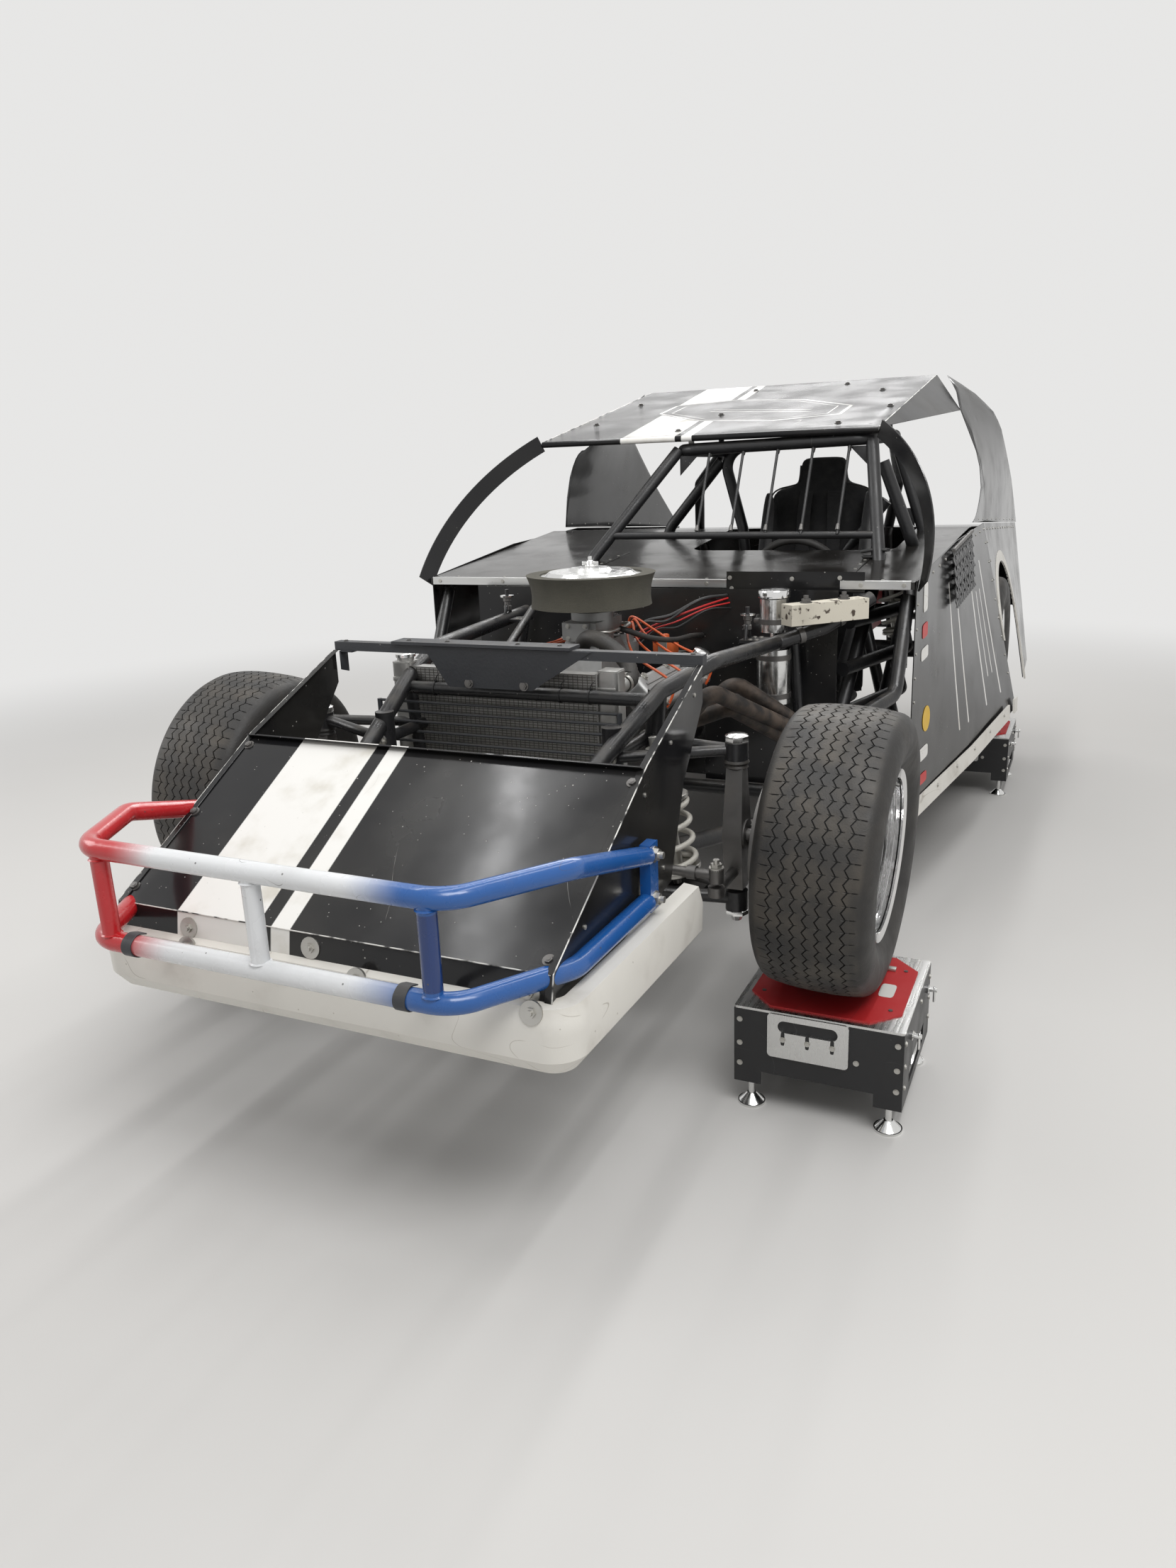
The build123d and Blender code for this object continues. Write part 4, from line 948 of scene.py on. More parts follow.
    def box(self, centre: Point, size: Point, bevel: float = 1.0) -> "Shape":
        """Adds a block about its middle, with softened edges."""
        corners = [
            Vector(centre) + Vector((a * size[0], b * size[1], -size[2])) / 2
            for a, b in ((-1, -1), (1, -1), (1, 1), (-1, 1))
        ]
        return self.slab(corners, (0, 0, size[2]), bevel)

    def place(self, name: str, finish: Finish, body: str = "root") -> bpy.types.Object:
        """Ends the shape and adds it to the scene."""
        return put(name, self.mesh(name), finish, body)

    def mesh(self, name: str, sharp: float = 35.0) -> bpy.types.Mesh:
        """Ends the shape.

        Args:
            name: Name of the mesh.
            sharp: Angle in degrees from which an edge stays sharp.

        Returns:
            The mesh.
        """
        bmesh.ops.remove_doubles(self.work, verts=self.work.verts, dist=1e-6)
        bmesh.ops.recalc_face_normals(self.work, faces=self.work.faces)
        made = bpy.data.meshes.new(name)
        self.work.to_mesh(made)
        self.work.free()
        smooth_out(made)
        made.set_sharp_from_angle(angle=radians(sharp))
        return made


class Growth:
    """A geometry node tree with named inputs, used for what repeats."""

    def __init__(self, name: str, **inputs: str) -> None:
        """Starts a tree.

        Args:
            name: Name of the tree.
            inputs: Socket type of each input after the geometry, with _ for a blank.
        """
        self.tree = bpy.data.node_groups.new(name, "GeometryNodeTree")
        face = self.tree.interface
        face.new_socket("Geometry", in_out="INPUT", socket_type="NodeSocketGeometry")
        self.ids = {}
        for label, kind in (*inputs.items(), ("Material", "Material")):
            label = label.replace("_", " ")
            made = face.new_socket(label, in_out="INPUT", socket_type="NodeSocket" + kind)
            self.ids[label] = made.identifier
        face.new_socket("Geometry", in_out="OUTPUT", socket_type="NodeSocketGeometry")
        self.start = self.tree.nodes.new("NodeGroupInput")
        self.end = self.tree.nodes.new("NodeGroupOutput")

    def node(
        self, kind: str, settings: Settings = None, sockets: Sockets = None, output: int | str = 0
    ) -> bpy.types.NodeSocket:
        """Adds one node and gives the chosen output."""
        return add_node(self.tree, kind, settings, sockets).outputs[output]

    def spread(self, shape: bpy.types.NodeSocket, **sockets: Any) -> None:
        """Sets a shape on points and ends the tree in realized instances with a material.

        Args:
            shape: The shape that repeats.
            sockets: Points and Rotation of the instances.
        """
        copies = self.node("GeometryNodeInstanceOnPoints", sockets={"Instance": shape, **sockets})
        real = self.node("GeometryNodeRealizeInstances", sockets={0: copies})
        dressed = self.node(
            "GeometryNodeSetMaterial", sockets={0: real, "Material": self.start.outputs["Material"]}
        )
        self.tree.links.new(dressed, self.end.inputs[0])

    def grow(
        self, name: str, host: bpy.types.Mesh, finish: Finish, body: str = "root", **values: Any
    ) -> bpy.types.Object:
        """Runs the tree on a host mesh.

        Args:
            name: Name of the resulting piece.
            host: What the tree starts from.
            finish: What the piece is made of.
            body: The body that it moves with.
            values: The inputs' values by their names, with _ for a blank.

        Returns:
            The piece.
        """
        carrier = bpy.data.objects.new(name + "_host", host)
        bpy.context.scene.collection.objects.link(carrier)
        modifier = carrier.modifiers.new("growth", "NODES")
        modifier.node_group = self.tree
        for label, value in (*values.items(), ("Material", finish.material())):
            modifier[self.ids[label.replace("_", " ")]] = value
        graph = bpy.context.evaluated_depsgraph_get()
        made = bpy.data.meshes.new_from_object(carrier.evaluated_get(graph))
        made.name = name
        carrier.modifiers.remove(modifier)
        bpy.data.objects.remove(carrier)
        return put(name, made, finish, body)


class Fixing(Enum):
    """Sides of the head, its radius and height, the washer's, and the stud's height, in mm."""

    RIVET = (12, 5.0, 1.4, 5.2, 0.6, 1.8)
    SCREW = (16, 5.5, 3.2, 7.0, 1.0, 3.6)
    BOLT = (6, 9.0, 7.0, 13.0, 2.0, 8.0)
    WIDE = (6, 10.5, 7.5, 23.0, 3.0, 12.0)
    LARGE = (6, 14.0, 12.0, 18.0, 3.0, 22.0)


class Fasteners:
    """Bolts, rivets and nuts, each kind grown on loose points that carry a direction."""

    stud_share = 0.55
    washer_sides = 20
    stud_sides = 12

    def __init__(self) -> None:
        """Builds the tree: a washer, a head and a stud end on every point."""
        self.growth = grow = Growth(
            "fasteners", Head_Radius="Float", Head_Height="Float", Head_Sides="Int",
            Washer_Radius="Float", Washer_Height="Float", Stud_Height="Float",
        )
        start = grow.start.outputs
        shares = {0: start["Head Radius"], 1: self.stud_share}
        stud = grow.node("ShaderNodeMath", {"operation": "MULTIPLY"}, shares)
        whole = grow.tree.nodes.new("GeometryNodeJoinGeometry")
        for radius, height, sides in (
            (start["Washer Radius"], start["Washer Height"], self.washer_sides),
            (start["Head Radius"], start["Head Height"], start["Head Sides"]),
            (stud, start["Stud Height"], self.stud_sides),
        ):
            disc = {"Vertices": sides, "Radius": radius, "Depth": height}
            feed(grow.tree, whole.inputs[0], grow.node("GeometryNodeMeshCylinder", sockets=disc))
        aim = grow.node("GeometryNodeInputNamedAttribute", {"data_type": "FLOAT_VECTOR"}, {"Name": "aim"})
        turn = grow.node("FunctionNodeAlignRotationToVector", {"axis": "Z"}, {"Vector": aim})
        dots = grow.node("GeometryNodeMeshToPoints", sockets={0: start["Geometry"]})
        grow.spread(whole.outputs[0], Points=dots, Rotation=turn)

    def put(
        self, name: str, places: Line, aims: Line | Point, kind: Fixing, finish: Finish = ZINC,
        body: str = "root",
    ) -> None:
        """Adds fasteners of one kind.

        Args:
            name: Name of the piece.
            places: Where they sit.
            aims: Their directions, or one direction for all.
            kind: Which fastener.
            finish: What they are made of.
            body: The body that they move with.
        """
        if isinstance(aims[0], (int, float)):
            aims = [aims] * len(places)
        spots = bpy.data.meshes.new(name + "_spots")
        spots.from_pydata(metres(places), [], [])
        store = spots.attributes.new("aim", "FLOAT_VECTOR", "POINT")
        store.data.foreach_set("vector", [part for aim in aims for part in aim])
        sides, radius, height, washer, thin, stud = kind.value
        self.growth.grow(
            name, spots, finish, body, Head_Radius=radius / 1000, Head_Height=height / 500,
            Head_Sides=sides, Washer_Radius=washer / 1000, Washer_Height=thin / 500,
            Stud_Height=stud / 500,
        )


class Fins:
    """Thin level strips stacked up, as on a radiator core."""

    def __init__(self) -> None:
        """Builds the tree: a column of points with a strip on each."""
        self.growth = grow = Growth("fins", Count="Int", Base="Vector", Pitch="Vector", Strip="Vector")
        start = grow.start.outputs
        column = grow.node(
            "GeometryNodeMeshLine", {"mode": "OFFSET"},
            {"Count": start["Count"], "Start Location": start["Base"], "Offset": start["Pitch"]},
        )
        strip = grow.node("GeometryNodeMeshCube", sockets={"Size": start["Strip"]})
        grow.spread(strip, Points=column)

    def put(self, name: str, count: int, base: Point, pitch: Point, strip: Point) -> None:
        """Adds a stack of strips.

        Args:
            name: Name of the piece.
            count: Number of strips.
            base: Middle of the first strip.
            pitch: Step from one strip to the next.
            strip: Lengths of one strip.
        """
        base, pitch, strip = metres((base, pitch, strip))
        seed = bpy.data.meshes.new(name + "_seed")
        self.growth.grow(name, seed, CORE_METAL, Count=count, Base=base, Pitch=pitch, Strip=strip)


@dataclass
class Part:
    """A sub-assembly of the car that has fasteners."""

    fasteners: Fasteners

    def __post_init__(self) -> None:
        """Shortens the way to the fasteners' tree."""
        self.fasten = self.fasteners.put


@dataclass
class Nose(Part):
    """Bolts, folded edges and worn edge beads of the nose."""

    face: Line = (
        (-513, -1821, 879), (519, -1830, 874), (516, -2037, 759), (513, -2233, 648),
        (-523, -2223, 654), (-519, -2023, 767),
    )
    band: Line = ((-332, -2267, 601), (-10, -2266, 605), (487, -2268, 595))
    lip: Line = ((-315, -2297, 572), (120, -2297, 572), (505, -2297, 572))
    fold: Line = ((533, -1424, 1048), (533, -1786, 900), (533, -2261, 634), (533, -2278, 556))
    side: Profile = ((-1480, 990), (-1640, 915), (-1800, 840), (-1960, 750), (-2120, 670), (-1700, 640))

    def build(self) -> None:
        """Builds the nose's trim."""
        self.fasten("nose_face_bolts", self.face, (0.0, -0.489, 0.873), Fixing.BOLT, DARK_STEEL)
        self.fasten("nose_band_bolts", self.band, (0.0, -0.983, 0.182), Fixing.WIDE)
        self.fasten("nose_lip_bolts", self.lip, (0.0, -0.96, 0.25), Fixing.WIDE)
        for side, label in SIDES:
            inset = [(side * (x - 6), y, z + 1.4) for x, y, z in self.fold]
            Shape().strap(inset, (15, 0, 0), 2.2).place(f"nose_flange_{label}", PANEL_WORN)
            bead = [(side * (x + 1.8), y, z + 1) for x, y, z in self.fold]
            Shape().tube(bead, 1.6, 8).place(f"nose_bead_{label}", WORN_EDGE)
        hem = [(x, -1797, 897) for x in (-531, 531)]
        Shape().strap(hem, (0, 22, -11), 2.4).place("nose_hem", PANEL_WORN)
        crease = [(x, -2261.4, 633.6) for x in (-530, 530)]
        Shape().tube(crease, 1.4, 8).place("nose_crease", WORN_EDGE)
        rows = mirrored((535, y, z) for y, z in self.side)
        self.fasten("nose_side_rivets", rows, outward(rows), Fixing.RIVET)


@dataclass
class Bumpers(Part):
    """Side bolts, hanger straps and weld beads of both bumpers."""

    strap_x: tuple[float, float] = (-323, 323)
    post_ends: tuple[float, float] = (645.5, 806.5)
    wrap: Profile = (
        (-2398, 646), (-2420, 652.5), (-2438, 643), (-2443.5, 629), (-2438, 615), (-2420, 605.5),
        (-2380, 600), (-2320, 590), (-2306, 575),
    )
    weld: Profile = ((-3, 17.5), (0, 21.5), (3, 17.5), (0, 17))

    def build(self) -> None:
        """Builds the bumpers' trim."""
        sides = mirrored((568, -1841, z) for z in (625, 725))
        self.fasten("bumper_bolts", sides, outward(sides), Fixing.LARGE)
        for number, x in enumerate(self.strap_x):
            line = flowing([(x, y, z) for y, z in self.wrap], 4)
            Shape().strap(line, (26, 0, 0), 3).place(f"bumper_strap_{number}", BAR_GREY)
        for label, y, reach, paint in (("front", -2420, 382, BUMPER), ("rear", 2420, 300, FRAME_BLACK)):
            beads = Shape()
            for x in (-reach, 0, reach):
                for z in self.post_ends:
                    beads.hoop(self.weld, (x, y, z), UP, 28)
            beads.place(f"bumper_welds_{label}", paint)


@dataclass
class Crossbar(Part):
    """Hardware of the bar over the radiator and of its air deflector."""

    def build(self) -> None:
        """Builds the crossbar's trim."""
        low = [(x, -1411.5, 974) for x in (-116, 48)]
        self.fasten("deflector_bolts", low, (0.0, -0.995, 0.1), Fixing.BOLT, DARK_STEEL)
        top = [(x, -1401, 1080) for x in (-300, -180, 30, 150)] + [(x, -1403, 1072) for x in (-505, 505)]
        self.fasten("crossbar_screws", top, UP, Fixing.SCREW, DARK_STEEL)
        brackets, ties = Shape(), Shape()
        for x, side in ((516, 1), (-516, -1)):
            upright = ((x, -1420, 1047), (x, -1386, 1047), (x, -1386, 985), (x, -1420, 995))
            brackets.slab(upright, (side * 4, 0, 0), 1.2)
            inner, level = x - side * 40, 1047.5
            flat = ((x, -1420, level), (inner, -1420, level), (inner, -1386, level), (x, -1386, level))
            brackets.slab(flat, (0, 0, -4), 1.2)
        brackets.place("crossbar_brackets", BAR_GREY)
        for x in (204, -262, 120):
            ties.band((x, -1345, 940), (1, 0, 0), 18.4, 4.4, 1.5)
            ties.box((x, -1345.5, 961.5), (7, 6, 6), 1.2)
            tail = flowing(((x, -1345, 962), (x + 6, -1348, 974), (x + 16, -1352, 982)), 4)
            ties.strap(tail, (0, 4, 0), 1.2)
        ties.place("radiator_tube_ties", BLACK_PLASTIC)


@dataclass
class Cooling:
    """Radiator fins and tank details, the corrugated top hose and its clamps."""

    fins: Fins
    core: tuple[float, float] = (-367, 215)
    face_y: float = -1313.5
    tanks: tuple[tuple[float, float], ...] = ((-392, -363.5), (240, 211.5))
    hose: Line = (
        (244, -1216, 950), (244, -1196, 951), (243, -1168, 960), (226, -1146, 990), (188, -1136, 1024),
        (138, -1128, 1050), (96, -1112, 1052), (68, -1090, 1030), (60, -1082, 1004),
    )
    cap: Profile = ((0, 20), (2, 29), (10, 29), (12.5, 25), (14, 12), (14.5, 0))
    plain_run: int = 7
    ridge: float = 22.8
    groove: float = 21.2

    def build(self) -> None:
        """Builds the cooling system's trim."""
        low, high = self.core
        strip = (high - low, 3.5, 1.4)
        self.fins.put("radiator_fins", 60, ((low + high) / 2, self.face_y, 566), (0, 0, 7.2), strip)
        base = (low + 10, self.face_y + 1.2, 775)
        self.fins.put("radiator_tubes", 42, base, (13.8, 0, 0), (1.4, 1.8, 425))
        tank = Shape()
        for x, seam in self.tanks:
            for z in (600, 800, 955):
                tank.box((x, -1321.6, z), (50, 3, 12))
            tank.tube(((seam, -1320.5, 556), (seam, -1320.5, 996)), 2.8, 8)
            tank.box((x, -1290, 1001.2), (54, 54, 4), 1.2)
        tank.tube(((240, -1255, 950), (240, -1221, 950)), 22, 28)
        tank.place("radiator_details", TANK_METAL)
        Shape().turned(self.cap, (-392, -1290, 1012), UP, 36).place("radiator_cap", POLISHED)
        line = flowing(self.hose, 12)
        ridged = range(self.plain_run, len(line) - self.plain_run)
        sizes = [
            self.ridge if number in ridged and number % 2 else self.groove
            for number in range(len(line))
        ]
        mesh = Shape().tube(line, sizes, 22).mesh("top_hose", sharp=80.0)
        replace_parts(put("top_hose", mesh, HOSE), "radiator_hose")
        clamps = Shape()
        for start, stop in ((line[2], line[4]), (line[-5], line[-3])):
            middle = (start + stop) / 2
            clamps.band(middle, stop - start, 21.6, 12, 2)
            clamps.box(middle + Vector((0, 0, 26)), (12, 16, 8))
        clamps.place("hose_clamps", ZINC)


@dataclass
class EngineTop(Part):
    """Valve cover hardware, leads, wires, distributor and carburettor details."""

    middle: float = 15.0
    slope: float = 0.7071
    hub: tuple[float, float] = (15.0, -686.0)
    tower_circle: float = 27.0
    ports: tuple[float, ...] = (-1075.0, -965.0, -855.0, -745.0)
    pulleys: Line = ((600, 83.5, 180), (770, 79.5, 0))
    breather: Profile = ((0, 16), (10, 16), (12, 28), (52, 29), (56, 24), (58, 0))
    tower: Profile = ((0, 8), (14, 7.2), (14.5, 0))
    boot: Profile = ((-36, 6), (-30, 8.2), (0, 8.8), (12, 7.2), (12.5, 0))
    nut: Profile = ((0, 17), (3, 17), (6, 12), (16, 10), (19, 7.2), (20, 0))
    loom: Line = (
        (286, -446, 1082), (240, -560, 1070), (160, -610, 1040), (92, -640, 1012), (40, -672, 985),
    )
    wires: tuple[tuple[Point, Finish, float], ...] = (
        ((0, 0, 0), WIRE_RED, 3.2), ((6, 14, -12), WIRE_RED, 2.6), ((-4, -10, 14), BLACK_PLASTIC, 5.8),
        ((10, 20, -24), BLACK_PLASTIC, 3.6), ((-12, -22, 4), BLACK_PLASTIC, 4.2),
    )

    def build(self) -> None:
        """Builds the engine's trim."""
        self.covers()
        self.leads()
        self.looms()
        self.carburettor()
        loop = [
            (self.middle + radius * cos(turn), -1156, z + radius * sin(turn))
            for z, radius, first in self.pulleys
            for turn in (radians(first + 15 * step) for step in range(13))
        ]
        Shape().strap([*loop, loop[0]], (0, 19, 0), 6).place("belt", HOSE)

    def covers(self) -> None:
        """Adds ribs, bolts and a breather to the valve covers."""
        ribs, bolts, aims = Shape(), [], []
        for side in (1, -1):
            for shift in (-24 * self.slope, 0, 24 * self.slope):
                x, z = self.middle + side * (257.8 + shift), 907.8 - shift
                ribs.strap(((x, -1085, z), (x, -700, z)), (side * 5, 0, -5), 7)
            for y in (-1060, -890, -720):
                for shift in (-46 * self.slope, 46 * self.slope):
                    bolts.append((self.middle + side * (257.5 + shift), y, 908.2 - shift))
                    aims.append((side * self.slope, 0, self.slope))
        ribs.place("cover_ribs", CAST)
        self.fasten("cover_bolts", bolts, aims, Fixing.BOLT)
        Shape().turned(self.breather, (276, -740, 912), (0.5, 0, 0.87), 32).place("breather", POLISHED)

    def leads(self) -> None:
        """Adds the distributor's towers and eight plug leads."""
        towers, wires, boots = Shape(), Shape(), Shape()
        for number, (side, port) in enumerate((side, port) for side in (1, -1) for port in self.ports):
            turn = pi * (number + 0.5) / 4 - pi / 2
            x, y = (a + self.tower_circle * b for a, b in zip(self.hub, (cos(turn), sin(turn))))
            towers.turned(self.tower, (x, y, 1000), UP, 14)
            spread = 6 * (number % 4)
            path = [(x, y, 1010), (x + side * 18, y - 6, 1030 + spread)]
            path += [(self.middle + side * reach, way, z) for reach, way, z in (
                (110, (y + port) / 2, 1000 + spread), (200, port + 34, 986 - spread),
                (300, port + 26, 925), (296, port + 14, 866), (262, port + 12, 838),
            )]
            lead = flowing(path, 7)
            wires.tube(lead, 3.8, 9)
            boots.turned(self.boot, lead[-1], lead[-1] - lead[-4], 16)
        towers.place("distributor_towers", BLACK_PLASTIC)
        wires.place("plug_leads", LEAD_ORANGE)
        boots.place("plug_boots", HOSE)

    def looms(self) -> None:
        """Adds the loose wires and the coil behind the engine."""
        for number, ((dx, dy, dz), finish, radius) in enumerate(self.wires):
            bends = (-2.7 * number, 3.6 * number)
            line = [
                (x + dx, y + dy * step / 2, z + dz + bends[step % 2])
                for step, (x, y, z) in enumerate(self.loom)
            ]
            Shape().tube(flowing(line, 7), radius, 10).place(f"wire_{number}", finish)
        coil = Shape().box((128, -598, 945), (72, 52, 46), 6)
        coil.turned(((0, 13), (16, 11), (18, 6), (19, 0)), (128, -598, 968), UP, 20)
        coil.place("coil", COIL_ORANGE)
        foot = [(128, y, z) for y, z in ((-622, 919), (-570, 919), (-500, 912), (-441, 905))]
        hold = Shape().strap(foot, (40, 0, 0), 3)
        hold.strap(((128, -627, 972), (128, -627, 919)), (30, 0, 0), 3).place("coil_bracket", ZINC)

    def carburettor(self) -> None:
        """Adds bowl screws, fuel lines, the throttle linkage and the filter's nut."""
        x, y = self.middle, -905
        screws = [(x + a, y + b, z) for a in (-27, 27) for b in (-113.5, 113.5) for z in (1032, 1068)]
        aims = [(0, -1 if place[1] < y else 1, 0) for place in screws]
        self.fasten("bowl_screws", screws, aims, Fixing.SCREW)
        for name, steps, radius, sides, finish, line in (
            ("fuel_line", 6, 5.5, 12, ZINC, (
                (58, -995, 1050), (92, -990, 1050), (102, -960, 1048), (102, -850, 1048),
                (94, -816, 1050), (58, -812, 1050),
            )),
            ("fuel_feed", 8, 8.5, 14, HOSE, (
                (102, -905, 1048), (130, -900, 1040), (170, -830, 1010), (196, -700, 985),
                (200, -560, 975), (196, -443, 960),
            )),
        ):
            Shape().tube(flowing(line, steps), radius, sides).place(name, finish)
        line = ((-50, -880, 1040), (-96, -870, 1046), (-98, -640, 1040), (-98, -443, 1034))
        rod = Shape().tube(line, 4, 10)
        rod.turned(((0, 11), (4, 12), (9, 12), (12, 0)), (-48.5, -880, 1040), (-1, 0, 0), 20)
        rod.place("throttle_rod", ZINC)
        studs = [(x + a, y + b, 1030) for a in (-52, 52) for b in (-78, 78)]
        self.fasten("carb_studs", studs, UP, Fixing.BOLT)
        nut = Shape().turned(self.nut, (x, y, 1226.5), UP, 24)
        nut.box((x, y, 1236), (52, 5, 11), 2).place("filter_nut", POLISHED)


@dataclass
class BayHardware(Part):
    """Hood pin washers, canister bands, ballast bolts and tube brackets."""

    pins: Line = ((428, -700, 992), (-415, -640, 1026))
    washer: Profile = ((73.5, 6.1), (73.5, 22.2), (78.5, 22.8), (79.8, 15), (80, 6.1))
    nut: Profile = (
        (30, 8.2), (32, 12.5), (44, 13), (46, 10.5), (58, 10.5), (60, 14), (72.5, 14), (73.5, 10),
    )
    cap: Profile = ((0, 44.5), (4, 49), (22, 49), (26, 47), (29, 38), (29.5, 0))

    def build(self) -> None:
        """Builds the engine bay's hardware."""
        plates, collars, bands, clips = Shape(), Shape(), Shape(), Shape()
        for pin in self.pins:
            plates.hoop(self.washer, pin, UP, 40)
            collars.turned(self.nut, pin, UP, 8)
        plates.place("hood_pin_washers", CHROME)
        collars.place("hood_pin_nuts", DARK_STEEL)
        feet = [
            (x + a, y + b, z + 4) for (x, y, z), reach in zip(self.pins, ((16, 36), (48, 66)))
            for a in reach for b in (-24, 24)
        ]
        self.fasten("hood_pin_bolts", feet, UP, Fixing.SCREW)
        for z, radius in ((800, 52.2), (920, 52.2), (1030, 44.2)):
            bands.band((470, -560, z), UP, radius, 16)
            bands.box((462 - radius, -560, z), (18, 22, 14), 2)
            bands.strap(((458 - radius, -560, z), (443 - radius, -500, z), (430, -444, z)), (0, 0, 20), 3)
        bands.place("canister_bands", DARK_STEEL)
        Shape().turned(self.cap, (470, -560, 1098.5), UP, 24).place("canister_cap", CHROME)
        ballast = ((581, -612, 1093), (672, -511, 1093))
        self.fasten("ballast_bolts", ballast, UP, Fixing.LARGE, DARK_STEEL)
        for place, aim in (
            ((560, -592, 992.5), (0.74, 0.64, 0.22)), ((655, -500, 1032.5), (0.63, 0.71, 0.41)),
        ):
            clips.band(place, aim, 22.2, 18, 3)
        clips.place("ballast_clamps", DARK_STEEL)


@dataclass
class Suspension(Part):
    """Ball joint caps, pivot bolts, tie-rod nuts, caliper bolts, shocks and springs."""

    joint_x: float = 612.0
    axle_y: float = -1400.0
    coil_radius: float = 58.0
    wire: float = 7.3
    spring_foot: float = 0.13
    flat_turns: float = 0.7
    steps_a_turn: int = 28
    upper_cap: Profile = ((0, 27.5), (4, 29.5), (16, 29.5), (20, 22), (20.5, 0))
    lower_cap: Profile = ((0, 28.5), (3, 30), (12, 30), (16, 18), (30, 12), (31, 0))
    boot: Profile = ((0, 28.5), (6, 31), (12, 26), (18, 29), (24, 20))
    units: tuple[tuple[Point, Point, float, float, float], ...] = (
        ((455, -1400, 480), (395, -1400, 862), 0.58, 0.93, 4.7),
        ((520, 1450, 650), (455, 1450, 1010), 0.93, 0.5, 6.6),
    )

    def build(self) -> None:
        """Builds the suspension's trim."""
        caps, boots = Shape(), Shape()
        pivots, aims = [], []
        for side in (1, -1):
            x, y = side * self.joint_x, self.axle_y
            caps.turned(self.upper_cap, (x, y, 863.5), UP, 8)
            boots.turned(self.boot, (x, y, 820.5), DOWN, 28)
            caps.turned(self.lower_cap, (x, y, 433.5), DOWN, 8)
            for end, reach in ((1, 111), (-1, 126)):
                pivots += [(side * 332, y + end * reach, 830), (side * 366, y + end * 109, 486)]
                aims += [(0, end, 0), (side * 0.35, end * 0.94, 0)]
        caps.place("ball_joint_caps", POLISHED)
        boots.place("ball_joint_boots", HOSE)
        self.fasten("arm_pivot_bolts", pivots, aims, Fixing.LARGE)
        rods = mirrored([(self.joint_x, -1560, 597)])
        self.fasten("tie_rod_nuts", rods, UP, Fixing.LARGE, body="steering_link")
        for side, label in SIDES:
            pads = [(side * (695 + shift), -1228, z) for shift in (-30, 30) for z in (600, 650)]
            self.fasten(f"caliper_bolts_{label}", pads, (0, 1, 0), Fixing.SCREW, body=f"knuckle_{label}")
        self.coil_overs()

    def coil_overs(self) -> None:
        """Builds shocks and springs in place of their solids, with a collar on each spring."""
        bodies, coils = Shape(), Shape()
        for foot, head, top, sleeve, loops in self.units:
            for low, high in zip(mirrored([foot]), mirrored([head])):
                run = Vector(high) - Vector(low)
                for start, stop, radius in (
                    (0, 1, 11), (0.04, sleeve, 23), (0.06, 0.09, 44), (0.10, self.spring_foot, 67),
                    (top, top + 0.028, 64), (top + 0.032, top + 0.060, 46), (0.40, 0.42, 27),
                    (0.46, 0.48, 27),
                ):
                    start, stop, inner = start * run.length, stop * run.length, radius - 1.5
                    rod = ((start, inner), (start + 1.5, radius), (stop - 1.5, radius), (stop, inner))
                    bodies.turned(rod, low, run, 36)
                coils.tube(self.coil(Vector(low), run, top, loops), self.wire)
        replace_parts(bodies.place("shock_bodies", ZINC), "shocks")
        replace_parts(coils.place("spring_coils", SPRING_PAINT), "springs")

    def coil(self, foot: Vector, run: Vector, high: float, loops: float) -> list[Vector]:
        """Runs a helix with flat end turns about a shock.

        Args:
            foot: Lower end of the shock.
            run: From there to its upper end.
            high: Share of the run at which the spring ends.
            loops: Number of turns.

        Returns:
            The wire's centre line.
        """
        side = run.orthogonal().normalized()
        other = run.normalized().cross(side)
        wire, flat = self.wire / run.length, self.flat_turns / loops
        steps = round(loops * self.steps_a_turn)
        line = []
        for part in (step / steps for step in range(steps + 1)):
            turn = 2 * pi * loops * part
            climb = min(max((part - flat) / (1 - 2 * flat), 0.0), 1.0)
            share = self.spring_foot + wire + (high - self.spring_foot - 2 * wire) * climb
            line.append(foot + run * share + (side * cos(turn) + other * sin(turn)) * self.coil_radius)
        return line


